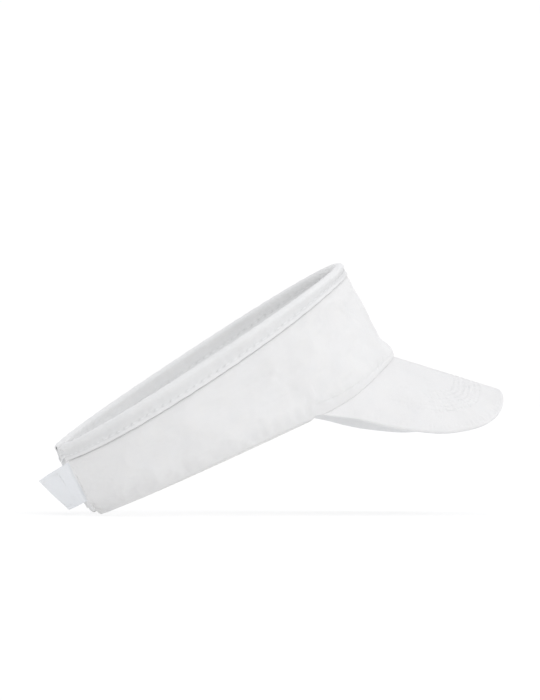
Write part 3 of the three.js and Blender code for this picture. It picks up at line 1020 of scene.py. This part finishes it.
def sweatband():
    """Towelling folded over foam, sewn to the lining along both edges."""
    end = END_ARC - HEM_RADIUS - 4
    arcs = np.linspace(-end, end, int(2 * end / SWEATBAND_STEP))
    rise = np.linspace(0, 1, SWEATBAND_ROWS)
    angle = angle_of(arcs)[:, None] + 0 * rise
    low, high = sweatband_low(angle), sweatband_high(angle)
    height = low + (high - low) * rise
    moved = np.maximum(resample_grid(settled_terry(end), len(arcs), len(rise)), -0.05)
    to_end = smooth((end - np.abs(arcs[:, None])) / 5)
    near_edge = gauss(np.minimum(height - low, high - height) / 2.4)
    pucker = 0.16 * ripple(arcs[:, None], 5, 32) * near_edge
    swell = (terry_depth(rise) - TERRY_DEPTH) * (0.25 + 0.75 * to_end)
    depth = TERRY_DEPTH + swell + (moved - pucker) * to_end
    angle = angle_of(cut_back(arcs[:, None], height - lower_edge(angle, CLOTH)))
    grid = wall(angle, height, np.maximum(depth, TERRY_DEPTH - 0.02))
    piece = thicken("sweatband_terry", grid, TERRY, MATERIALS["terry"])
    on_band(piece, "sweatband", "sweatband_left", slot="terry")
    return piece


def padding_low(angle):
    return sweatband_low(angle) + PADDING_INSET


def padding_high(angle):
    return sweatband_high(angle) - PADDING_INSET


def padding():
    """Foam between lining and towelling, clear of the seams."""
    piece = plain_layer("sweatband_foam", "foam", *PADDING_DEPTH, padding_low, padding_high,
                        END_ARC - HEM_RADIUS - 6, 12)
    on_band(piece, "sweatband_padding", "sweatband_padding_left", slot="padding_foam")


def sweatband_stitches():
    """Rows through towelling and lining, just inside the sweatband's edges."""
    end = END_ARC - HEM_RADIUS - 6
    angles = angle_of(np.linspace(-end, end, 900))
    high = line_on_wall(angles, lambda a: sweatband_high(a) - TERRY_STITCH, TERRY_STITCH_DEPTH, -1)
    low = line_on_wall(angles, lambda a: sweatband_low(a) + TERRY_STITCH, TERRY_STITCH_DEPTH, -1)
    on_band(stitch_rows("sweatband_stitches", [high, low], TERRY_PITCH, THREAD))


# ---- Rim binding --------------------
TAPE_CLOTH = 0.5               # thickness of the rim tape
BINDING_STEP = 0.6
BINDING_OUT = -0.85            # depths of the tape's outer and inner leg
BINDING_IN = 3.45
BINDING_MIDDLE = (BINDING_OUT + BINDING_IN) / 2
BINDING_ROW = 2.7              # stitches this far above the tape's lower edge
BINDING_THREAD = 0.26
BINDING_PRESS = 0.56           # the tape can be pressed in as far as the cloth under it
FOLD_START = 0.9               # the fold over the rim begins this far below it
FOLD_RISE = 1.65               # and rises this far
TAIL = 7.5                     # the tape's end sticks out past the left rear end,
TAIL_KICK = 1.2                # stands off from it,
TAIL_DROP = 1.8                # hangs a little
TAIL_FRAY = 2.4                # and is cut at a slant


def binding_path():
    """Depth, place on the leg from 0 at its edge to 1 at the fold, and height over the fold's start."""
    leg = np.linspace(0, 1, 22)
    turn = np.linspace(0, math.pi, 13)[1:-1]
    fold = BINDING_MIDDLE - (BINDING_IN - BINDING_OUT) / 2 * np.cos(turn)
    depth = np.concatenate([0 * leg + BINDING_OUT, fold, 0 * leg + BINDING_IN])
    place = np.concatenate([leg, 0 * turn + 1, leg[::-1]])
    return depth, place, np.concatenate([0 * leg, FOLD_RISE * np.sin(turn), 0 * leg])


def binding_press(arc, from_edge, from_fold):
    """How far the tape is pulled in by its stitches, lifts between them, and swells at the fold."""
    beat = np.cos(2 * math.pi * arc / BINDING_PITCH) / 2 + 0.5
    held = gauss((from_edge - BINDING_ROW) / 0.7) * (0.16 + 0.6 * beat ** 3)
    lips = gauss(from_edge / 1.1) * (0.36 - 0.14 * beat)
    drawn = 0.16 * ripple(arc, 6, 44) * gauss((from_edge - BINDING_ROW - 2.2) / 1.8)
    bead = 0.6 * gauss((from_fold - 0.5) / 1.1)
    hollow = 0.34 * gauss((from_fold - 3.4) / 1.8)
    return np.minimum(held - lips + drawn - bead + hollow + 0.07 * ripple(arc, 9, 41), BINDING_PRESS)


def binding():
    """The rim tape, folded over the rim, with a loose cut end past the left rear end."""
    depth_path, place, over = binding_path()
    arcs = np.arange(-END_ARC, END_ARC + TAIL, BINDING_STEP)
    angle = angle_of(arcs)[:, None] + 0 * depth_path
    arc = arcs[:, None] + 0 * depth_path
    leg = binding_width(angle) - FOLD_START
    from_edge, from_fold = leg * place, leg * (1 - place)
    side = np.where(np.arange(len(depth_path)) < len(depth_path) / 2, 1, -1)
    on_leg = 1 - 0.999 * smooth(over / 1.2)
    past = smooth((arc - END_ARC + 1.5) / (TAIL - 0.5))
    move = binding_press(arc, from_edge, from_fold) * side * on_leg * (1 - 0.7 * past)
    top_wave = 0.1 * ripple(arc, 10, 42) * (1 - on_leg)
    edge_wave = 0.12 * ripple(arc, 12, 43) * gauss(from_edge / 2)
    pinch = (depth_path - BINDING_MIDDLE) * past * 0.85
    height = rim_height(angle) - FOLD_START - from_fold + over * (1 - 0.6 * past) + top_wave + edge_wave
    frayed = past * (0.4 * ripple(from_edge, 2.6, 45) + TAIL_FRAY * (1 - place))
    depth = depth_path + move - pinch - past * TAIL_KICK
    grid = wall(angle_of(arc - frayed), height - past * (TAIL_DROP * (1 - place) - 0.3), depth)
    flat = np.stack([arc * MM, place * TAPE_SPAN + 0 * arc], -1)
    piece = thicken("rim_binding", grid, TAPE_CLOTH, MATERIALS["binding"], flat)
    return on_band(piece, "top_binding", "top_binding_left", slot="binding_tape")


def binding_stitches():
    """One row through the tape, showing on both faces."""
    end = END_ARC - 1.5
    angles = angle_of(np.linspace(-end, end, 1500))

    def row(angle):
        return rim_height(angle) - binding_width(angle) + BINDING_ROW

    outside = line_on_wall(angles, row, BINDING_OUT - 0.05)
    inside = line_on_wall(angles, row, BINDING_IN + 0.05, -1)
    rows = [outside, inside]
    return on_band(stitch_rows("binding_stitches", rows, BINDING_PITCH, BINDING_THREAD, share=0.6))


def end_stitches():
    """A short row across each rear end, through the turned-in hem."""
    rows = []
    for side in (-1, 1):
        heights = np.linspace(4.5, REAR_HEIGHT - binding_width(REAR_END) - 1, 60)
        angle = angle_of(cut_back(side * (END_ARC - END_STITCH), heights - LOWER_EDGE))
        here = wall(angle, heights, END_STITCH_DEPTH)
        rows.append((here, unit(wall(angle, heights, END_STITCH_DEPTH - 1) - here)))
    return on_band(stitch_rows("rear_end_stitches", rows, END_STITCH_PITCH, THREAD))


# ---- Brim --------------------
BRIM_THICK = 3.2
COVER = 0.6                    # thickness of each cover
BRIM_STEP = 0.6                # between the cover's columns of points along its edge
BRIM_ROWS = 95                 # rows from its rolled edge to the band
EDGE_ROLL = 1.25               # the covers' edges are turned in over this width
EDGE_ROWS = [1.7, 2.3, 3.0]    # distances of the next rows of points, where puckers are small
ROWS_FROM = 15.6               # the outermost of the concentric stitch rows, in from the brim's edge
ROWS_APART = 3.3
ROWS = 6
BRIM_PITCH = 3.4               # length of one of their stitches
FADE_START = 12                # the rows fade out over the rear of the brim: s where they begin to show
FADE_RUN = 26
CORNER_THIN = 0.36             # share of the thickness left at the rear corners
CORNER_RUN = 52


def brim_point(p, s, depth):
    """A point of the bent brim in the row frame."""
    return to_row(*brim_place(p, s, depth))


def brim_outline():
    """The brim's edge from its right rear corner to its left one, evenly spaced, flat."""
    half = np.array([*BRIM_OUTLINE, BRIM_CORNER])
    drawn = np.concatenate([half[:0:-1] * [-1, 1], half])
    fine = resample(drawn, np.linspace(0, len(drawn) - 1, 4001))
    return fine, arc_lengths(fine)


OUTLINE, OUTLINE_LENGTH = brim_outline()
OUTLINE_REACH = 2.0            # its direction is taken over this far each way
NEAREST_BLOCK = 4000           # points compared with the outline at one time


def on_outline(length):
    """Points of the outline and the directions inwards from them, at running lengths."""
    behind, at, ahead = (
        np.stack([np.interp(length + step, OUTLINE_LENGTH, OUTLINE[:, k]) for k in (0, 1)], -1)
        for step in (-OUTLINE_REACH, 0, OUTLINE_REACH)
    )
    run = unit(ahead - behind)
    return at, np.stack([run[..., 1], -run[..., 0]], -1)


def from_outline(p, s):
    """Distance of flat points from the outline, and the running length of the nearest point of it."""
    coarse = OUTLINE[::8]
    flat = np.stack([np.ravel(p), np.ravel(s)], -1)
    nearest = np.zeros(len(flat), int)
    distance = np.zeros(len(flat))
    for start in range(0, len(flat), NEAREST_BLOCK):
        block = slice(start, start + NEAREST_BLOCK)
        gap = np.linalg.norm(flat[block, None] - coarse, axis=-1)
        nearest[block] = gap.argmin(axis=1)
        distance[block] = gap.min(axis=1)
    return distance.reshape(np.shape(p)), OUTLINE_LENGTH[::8][nearest].reshape(np.shape(p))


def in_front(s):
    """1 over the front of the brim, easing to 0 at its rear."""
    return smooth((s - FADE_START) / FADE_RUN)


def row_distances():
    """Distances of the rows of stitches from the brim's edge."""
    return ROWS_FROM + ROWS_APART * np.arange(ROWS)


def brim_press(distance, length, p, s, seed):
    """How far the cover is pressed in by stitching and puckers, in millimetres."""
    front = in_front(s)
    rows = sum(gauss((distance - d) / 0.62) for d in row_distances())
    quilted = smooth((distance - ROWS_FROM + 4) / 4) * smooth((row_distances()[-1] + 5 - distance) / 5)
    beads = np.cos(2 * math.pi * length / BRIM_PITCH + 1.5 * np.sin(distance))
    puckers = (0.02 + 0.13 * front) * ripple(length, 4, seed) * quilted
    groove = rows * (0.03 + 0.6 * front) * (0.75 + 0.25 * beads)
    edge = (0.05 + 0.12 * front) * ripple(length, 2.8, seed + 1) * gauss((distance - 3.2) / 2.4)
    soft = 0.09 * mottle(p, s, 17, seed + 2) + 0.04 * mottle(p, s, 6, seed + 3)
    inside = smooth((distance - 0.5) / 1.5)
    return (groove + puckers + edge + soft) * inside


def brim_thickness(length):
    """The brim thins where its rear corners are sewn up into the band."""
    from_corner = np.minimum(length, OUTLINE_LENGTH[-1] - length)
    return BRIM_THICK * (CORNER_THIN + (1 - CORNER_THIN) * smooth(from_corner / CORNER_RUN))


def brim_grid(distances, inset, depth):
    """Flat places of a brim layer's grid. distances are rows measured in from its edge, in millimetres."""
    total = OUTLINE_LENGTH[-1]
    along = np.linspace(0.0006, 0.9994, int(total / BRIM_STEP))
    edge, _ = on_outline(along * total)
    angle = -BRIM_END + 2 * BRIM_END * along
    inner = np.stack(brim_flat(*wall_plan(angle, 0, BRIM_INNER_DEPTH, 0.0), depth), -1)
    towards = inner - edge
    width = np.linalg.norm(towards, axis=-1, keepdims=True)
    room = np.clip(width / 12, 0, 1)
    start = edge + towards / width * inset * room
    width = np.linalg.norm(inner - start, axis=-1, keepdims=True)
    near = np.minimum(distances * room, width * 0.5)
    rest = np.linspace(0, 1, BRIM_ROWS + 1)[1:]
    reach = np.concatenate([near, near[:, -1:] + (width - near[:, -1:]) * rest], axis=1)
    places = start[:, None] + (inner - start)[:, None] * (reach / width)[..., None]
    return places[..., 0], places[..., 1]


def brim_cover(name, upper, material, seed, node, slot):
    """One cover of the brim, its edge rolled in to meet the other cover half way."""
    turn = np.linspace(0, math.pi / 2, 8)
    near = np.concatenate([EDGE_ROLL * (1 - np.cos(turn)), EDGE_ROWS])
    curl = np.concatenate([1 - np.sin(turn), np.zeros(len(EDGE_ROWS) + BRIM_ROWS)])
    base = COVER / 2
    p, s = brim_grid(near, COVER / 2, base if upper else BRIM_THICK - base)
    distance, length = from_outline(p, s)
    thick = brim_thickness(length)
    inside = base + curl * (thick / 2 - base - 0.05) + brim_press(distance, length, p, s, seed)
    depth = inside if upper else thick - inside
    piece = thicken(name, brim_point(p, s, depth), COVER, MATERIALS[material], np.stack([p, s], -1) * MM)
    return on_body(piece, "visor", node, slot=slot)


BOARD_INSET = 2.2              # the board stops this far inside the brim's edge
BOARD_TRIM = 30                # grid rows of BRIM_STEP


def brim_board():
    """The stiff board between the covers, inside their edge and short of the rear corners."""
    p, s = brim_grid(np.array([0.0, 0.5, 1.0]), BOARD_INSET, BRIM_THICK / 2)
    p, s = p[BOARD_TRIM:-BOARD_TRIM:3, ::3], s[BOARD_TRIM:-BOARD_TRIM:3, ::3]
    _, length = from_outline(p, s)
    thick = brim_thickness(length)
    piece = thicken("brim_board_sheet", brim_point(p, s, thick / 2), 0.55 * thick - 0.5, MATERIALS["board"])
    return on_body(piece, "visor", "brim_board", slot="brim_board")


ROLL_ROOM = 2.2                # the crown's roll stands out over the brim


def clear_of_crown(p, s):
    """True where a flat place of the brim lies outside the crown's wall and its roll."""
    x, v, n = brim_place(p, s, 0)
    width = HALF_WIDTH - SIDE_LEAN * n
    length = FRONT_LENGTH - FRONT_LEAN * n
    size = (np.abs(x / width) ** PLAN_POWER + np.abs(v / length) ** PLAN_POWER) ** (1 / PLAN_POWER)
    return (size - 1) * width > ROLL_ROOM


def brim_stitches(name, upper):
    """Concentric rows, smaller where they fade out towards the band."""
    rows = []
    for distance in row_distances():
        length = np.linspace(2, OUTLINE_LENGTH[-1] - 2, 1600)
        edge, inward = on_outline(length)
        place = edge + inward * distance
        gap, _ = from_outline(place[:, 0], place[:, 1])
        kept = (gap > distance - 0.12) & clear_of_crown(place[:, 0], place[:, 1])
        place, length = place[kept], length[kept]
        front = in_front(place[:, 1])
        sunk = 0.4 * front
        depth = sunk if upper else brim_thickness(length) - sunk
        out = -1 if upper else 1
        here = brim_point(place[:, 0], place[:, 1], depth)
        normal = (brim_point(place[:, 0], place[:, 1], depth + out) - here) / MM
        rows.append((here, normal, 0.3 + 0.7 * front))
    return on_body(stitch_rows(name, rows, BRIM_PITCH, FINE_THREAD, share=0.66), "visor")


# ---- Closure tape --------------------
FOLD = np.array([-14, 102.4, TAPE_HEIGHT])    # where the free part of the tape turns on the sewn part
FOLD_REACH = np.array([3, 0, 0])    # points this far each side of that are worked out, but nothing uses them
FREE_LENGTH = np.linalg.norm(TAPE_END - FOLD)
SEWN_ANGLES = np.append(np.arange(150, 168, 3.8), 168.9)    # along the sewn part, at the right rear end
SEWN_DEPTHS = np.array([1.4, 1.4, 1.5, 2.6, 4.1, 4.4])    # it comes out inside the turned hem
TAPE_STEP = 0.7
FINE_STEPS = np.array([0.0, 0.07, 0.22, 0.5, 0.9])    # closer points at an edge or a cut end
SELVEDGE = 0.14                # thicker line along each woven edge
HOOK_PITCH = 1.45


def free_tape(t, across, lift=0.0):
    """Band coordinates on the free tape: t along it, across and lift in millimetres from its middle."""
    run = unit(TAPE_END - FOLD)
    roll = (TAPE_ROLL * t)[..., None]
    rolled = np.concatenate([0 * roll, np.sin(roll), np.cos(roll)], axis=-1)
    up = unit(rolled - (rolled @ run)[..., None] * run)
    out = np.cross(up, run)
    middle = FOLD + (TAPE_END - FOLD) * t[..., None]
    return middle + up * np.asarray(across)[..., None] + out * np.asarray(lift)[..., None], out


def edge_rows(half, step):
    """Places from -half to half, closer together at the edges."""
    inside = half - FINE_STEPS[-1]
    inner = np.linspace(-inside, inside, int(2 * half / step))[1:-1]
    return np.concatenate([-half + FINE_STEPS, inner, half - FINE_STEPS[::-1]])


def tape_edge(inside):
    """Share of the full thickness near a woven edge or a cut end."""
    return 0.35 + 0.65 * np.sqrt(np.clip(1 - (1 - np.clip(inside / 0.5, 0, 1)) ** 2, 0, 1))


def closure_tape():
    """One tape: sewn inside the right rear end, then free past it."""
    across = edge_rows(TAPE_WIDTH / 2, 0.85)
    angles = -SEWN_ANGLES[:, None]
    height = TAPE_HEIGHT + across + 0 * angles
    plan = wall_plan(angles, height, SEWN_DEPTHS[:, None], 0.0)
    sewn = np.stack(np.broadcast_arrays(*plan, height), -1)
    along = np.linspace(0.0, 1, 11)[:, None] + 0 * across
    free, _ = free_tape(along, across + 0 * along)
    knots = np.concatenate([sewn, free])
    lengths = arc_lengths(knots[:, len(across) // 2])
    steps = np.concatenate([np.arange(0, lengths[-1] - 1, TAPE_STEP), lengths[-1] - FINE_STEPS[::-1]])
    grid = resample(knots, np.interp(steps, lengths, np.arange(len(lengths))))
    past = smooth((steps - lengths[len(sewn)]) / 12)[:, None]
    along = steps[:, None]
    grid[..., 1] += past * (0.22 * mottle(along, across, 19, 51) + 0.05 * mottle(along, across, 5, 52))
    selvedge = SELVEDGE * gauss((TAPE_WIDTH / 2 - 0.8 - np.abs(across)) / 0.45)
    thickness = (TAPE_THICK + selvedge) * tape_edge(TAPE_WIDTH / 2 - np.abs(across))
    thickness = thickness * tape_edge(lengths[-1] - steps)[:, None]
    piece = thicken("closure_tape", grid_to_row(grid), thickness, MATERIALS["tape"])
    start, end = grid_to_row(FOLD - FOLD_REACH), grid_to_row(FOLD + FOLD_REACH)
    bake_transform(piece)
    return stands_for(piece, ("strap_base", "hook_strap"))


HOOK_LEAD = 2                  # the first row of hooks stands this far along their ground,
HOOK_INSET = 1.6               # and they stop this far inside its other edges
HOOK_ROW = 0.9                 # its stitches run this far inside its edges
HOOK_STITCH_IN = 0.04          # lift of the stitches over the ground, and over the tape's other face
HOOK_STITCH_OUT = 0.02
HOOK_STITCH_PITCH = 2.7
HOOK_BASE = 0.4                # thickness of the hooks' ground, and its gap to the tape
HOOK_GAP = 0.12
HOOK_BEND = np.array([0, 0.02, 0.1, 0.26, 0.4, 0.44])          # one hook from its foot to its tip: along,
HOOK_RISE = np.array([-0.1, 0.3, 0.52, 0.62, 0.54, 0.4])       # up from the ground,
HOOK_RADIUS = np.array([0.13, 0.11, 0.1, 0.1, 0.09, 0.05])     # and how thick


def hook_patch():
    """The nylon ground of the hooks, sewn to the face of the tape towards the head."""
    half = TAPE_WIDTH / 2 - HOOK_MARGIN
    across = edge_rows(half, 1.0)
    along = np.linspace(HOOK_START, HOOK_END, 46)[:, None]
    grid, _ = free_tape(along + 0 * across, across + 0 * along, -TAPE_THICK / 2 - HOOK_GAP - HOOK_BASE / 2)
    thickness = HOOK_BASE * tape_edge(half - np.abs(across)) + 0 * along
    piece = thicken("hook_ground", grid_to_row(grid), thickness, MATERIALS["hooks"])
    return on_body(piece, "strap", "hook_field", slot="hook_field")


def hooks():
    """Rows of little nylon hooks, turned alternately to either side."""
    half = TAPE_WIDTH / 2 - HOOK_MARGIN - HOOK_INSET
    first, last = HOOK_START * FREE_LENGTH + HOOK_LEAD, HOOK_END * FREE_LENGTH - HOOK_INSET
    t = np.arange(first, last, HOOK_PITCH) / FREE_LENGTH
    across = np.arange(-half, half, HOOK_PITCH)
    t, across = (a.ravel() for a in np.meshgrid(t, across, indexing="ij"))
    turn = np.where(np.arange(len(t)) % 2 == 0, 1, -1)[:, None]
    base = TAPE_THICK / 2 + HOOK_GAP + HOOK_BASE
    places = t[:, None] + turn * HOOK_BEND / FREE_LENGTH
    grid, _ = free_tape(places, across[:, None] + 0 * places, -(base + HOOK_RISE + 0 * places))
    centre = grid_to_row(grid)
    sideways = grid_to_row(grid + [0, 0, 1]) - centre
    return on_body(tubes("hooks", centre, sideways / MM, HOOK_RADIUS * MM, "hooks"), "strap")


def frame_row(half, start, end, place):
    """A closed rectangle of a stitch row. place turns (along, up) into a point and its normal."""
    corners = np.array([(start, -half), (end, -half), (end, half), (start, half), (start, -half)])
    length = arc_lengths(corners)
    steps = np.linspace(0, length[-1], 260)
    along = np.interp(steps, length, corners[:, 0])
    up = np.interp(steps, length, corners[:, 1])
    return place(along, up)


def on_free_tape(lift):
    """A function from places on the free tape to points at that lift from it and their normals."""
    def place(along, up):
        grid, out = free_tape(along / FREE_LENGTH, up, lift)
        here = grid_to_row(grid)
        return here, (grid_to_row(grid + out) - here) / MM
    return place


def hook_stitches():
    """A rectangle of stitches through the hooks' ground and the tape, showing on both faces."""
    half = TAPE_WIDTH / 2 - HOOK_MARGIN - HOOK_ROW
    start, end = HOOK_START * FREE_LENGTH + HOOK_ROW, HOOK_END * FREE_LENGTH - HOOK_ROW
    below = -TAPE_THICK / 2 - HOOK_GAP - HOOK_BASE - HOOK_STITCH_IN
    inside, normal = frame_row(half, start, end, on_free_tape(below))
    outside, out = frame_row(half, start, end, on_free_tape(TAPE_THICK / 2 + HOOK_STITCH_OUT))
    rows = [(inside, -normal), (outside, out)]
    return on_body(stitch_rows("hook_stitches", rows, HOOK_STITCH_PITCH, FINE_THREAD), "strap")


LOOP_HEIGHT = 1.0
LOOP_ROW = 1.7                 # stitches this far inside its edges
LOOP_STITCH_DEPTH = -0.68      # pressed into the pile
LOOP_STITCH_PITCH = 2.8


def loop_patch():
    """Looped pile on the outside of the left rear end."""
    start, end = arc_of(LOOP_START), arc_of(REAR_END - LOOP_MARGIN)
    half = TAPE_WIDTH / 2
    across = edge_rows(half, 0.5)
    arcs = edge_rows((end - start) / 2, 0.5)[:, None] + (start + end) / 2
    inside = np.minimum(half - np.abs(across), (end - start) / 2 - np.abs(arcs - (start + end) / 2))
    pile = LOOP_HEIGHT * tape_edge(inside) - 0.5 * gauss((inside - LOOP_ROW) / 0.6)
    dice = np.random.default_rng(61)
    fuzz = dice.uniform(-0.12, 0.12, pile.shape) + 0.1 * mottle(arcs, across, 3, 62)
    depth = -0.15 - pile - fuzz * smooth(inside / 0.8)
    height = TAPE_HEIGHT + across + 0 * arcs
    angle = angle_of(cut_back(arcs, height - LOWER_EDGE))
    outer = wall(angle, height, depth)
    inner = wall(angle, height, 0.05 + 0 * depth)
    piece = sheet_solid("loop_pile_patch", outer, inner, MATERIALS["loops"])
    return on_body(piece, "left_side", "loop_patch", slot="loop_pile")


def loop_stitches():
    """A rectangle of stitches round the loop patch."""
    start, end = arc_of(LOOP_START) + LOOP_ROW, arc_of(REAR_END - LOOP_MARGIN) - LOOP_ROW
    half = TAPE_WIDTH / 2 - LOOP_ROW

    def place(along, up):
        angle = angle_of(cut_back(along, TAPE_HEIGHT + up - LOWER_EDGE))
        here = wall(angle, TAPE_HEIGHT + up, LOOP_STITCH_DEPTH)
        return here, (wall(angle, TAPE_HEIGHT + up, LOOP_STITCH_DEPTH - 1) - here) / MM

    rows = [frame_row(half, start, end, place)]
    return on_body(stitch_rows("loop_stitches", rows, LOOP_STITCH_PITCH, THREAD), "left_side")


# ---- Building the visor --------------------
SETTLED_SHELL = settled_shell()
band = crown_cloth()
lining = crown_lining()
inner_stiffener = stiffener()
terry_band = sweatband()
padding()
sweatband_stitches()
rim = binding()
rim_row = binding_stitches()
end_rows = end_stitches()

top_cover = brim_cover("brim_top_cloth", True, "twill", 71, "brim_top_cover", "white_twill")
under_cover = brim_cover("brim_under_cloth", False, "under", 81, "brim_under_cover", "lining_cotton")
peak = brim_board()
top_rows = brim_stitches("brim_top_stitches", True)
under_rows = brim_stitches("brim_under_stitches", False)

tape = closure_tape()
hook_ground = hook_patch()
hook_loops = hooks()
hook_row = hook_stitches()
pile = loop_patch()
pile_row = loop_stitches()


# ---- Stage --------------------
FLOOR_DROP = 0.0005
FLOOR_HALF = 40
FLOOR_GREY = 0.38
FLOOR_GLOW = 0.6
SKY_LOW = 1.02                 # brightness of the studio round about, and overhead
SKY_HIGH = 0.85
SKY_TURN = (0.16, 0.4)         # it dims between these heights on the unit sphere
LIGHTS = {                     # from where, how strong, and how wide in degrees
    "key": ((-1.7, -1.4, 1.3), 0.6, 50),
    "top": ((0.1, -0.5, 2.0), 0.4, 60),
}
scene = bpy.context.scene


def stage_material(name, colour, glow):
    s = Shader(name, colour, 0.9, 0.0, 0.1)
    grain = s.noise(0.05, 2)
    s.colour(s.ramp(grain, [(0.3, shaded(colour, 0.99)), (0.7, colour)]))
    s.shader.inputs["Emission Color"].default_value = (1, 1, 1, 1)
    s.shader.inputs["Emission Strength"].default_value = glow
    return s.material


def floor():
    """White ground just under the visor."""
    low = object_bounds()[0][2] - FLOOR_DROP
    size = FLOOR_HALF
    verts = [(-size, -size, low), (size, -size, low), (size, size, low), (-size, size, low)]
    material = stage_material("floor_white", (FLOOR_GREY,) * 3, FLOOR_GLOW)
    make_object("studio_floor", verts, [[0, 1, 2, 3]], material)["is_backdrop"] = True


def soft_sun(name, towards, strength, spread):
    """A large soft light from one direction, the same everywhere on the floor. spread is in degrees."""
    lamp = bpy.data.lights.new(name, "SUN")
    lamp.energy = strength
    lamp.angle = math.radians(spread)
    light = bpy.data.objects.new(name, lamp)
    x, y, z = towards
    light.rotation_euler = (math.atan2(math.hypot(x, y), z), 0, math.atan2(y, x) + math.pi / 2)
    scene.collection.objects.link(light)


AIM = np.array([0, -0.026, 0.036])
VIEW_AZIMUTH = math.radians(261.5)
VIEW_ELEVATION = math.radians(-0.5)
VIEW_DISTANCE = 3.5
LENS = 300


def camera():
    """A long lens at the level of the band, from the wearer's right and a little behind."""
    lens = bpy.data.cameras.new("camera")
    lens.lens = LENS
    lens.sensor_width = 36
    lens.clip_end = 200
    eye = bpy.data.objects.new("camera", lens)
    level = math.cos(VIEW_ELEVATION)
    across = math.sin(VIEW_AZIMUTH)
    ahead = -math.cos(VIEW_AZIMUTH)
    back = np.array([across * level, ahead * level, math.sin(VIEW_ELEVATION)])
    eye.location = AIM + back * VIEW_DISTANCE
    eye.rotation_euler = (math.pi / 2 - VIEW_ELEVATION, 0, VIEW_AZIMUTH)
    scene.collection.objects.link(eye)
    scene.camera = eye


def sky(low, high):
    """A studio that is white all round at eye level and dimmer overhead."""
    world = bpy.data.worlds.new("studio")
    world.use_nodes = True
    tree = world.node_tree
    coords = tree.nodes.new("ShaderNodeTexCoord")
    split = tree.nodes.new("ShaderNodeSeparateXYZ")
    ramp = tree.nodes.new("ShaderNodeValToRGB")
    tree.links.new(coords.outputs["Generated"], split.inputs[0])
    tree.links.new(split.outputs["Z"], ramp.inputs[0])
    ramp.color_ramp.elements[0].position = SKY_TURN[0]
    ramp.color_ramp.elements[0].color = (low, low, low, 1)
    ramp.color_ramp.elements[1].position = SKY_TURN[1]
    ramp.color_ramp.elements[1].color = (high, high, high * 1.02, 1)
    shade = next(n for n in tree.nodes if n.type == "BACKGROUND")
    tree.links.new(ramp.outputs[0], shade.inputs["Color"])
    scene.world = world


floor()
camera()
sky(SKY_LOW, SKY_HIGH)
scene.view_settings.view_transform = "Standard"
for lamp_name, (towards, strength, spread) in LIGHTS.items():
    soft_sun(lamp_name, towards, strength, spread)
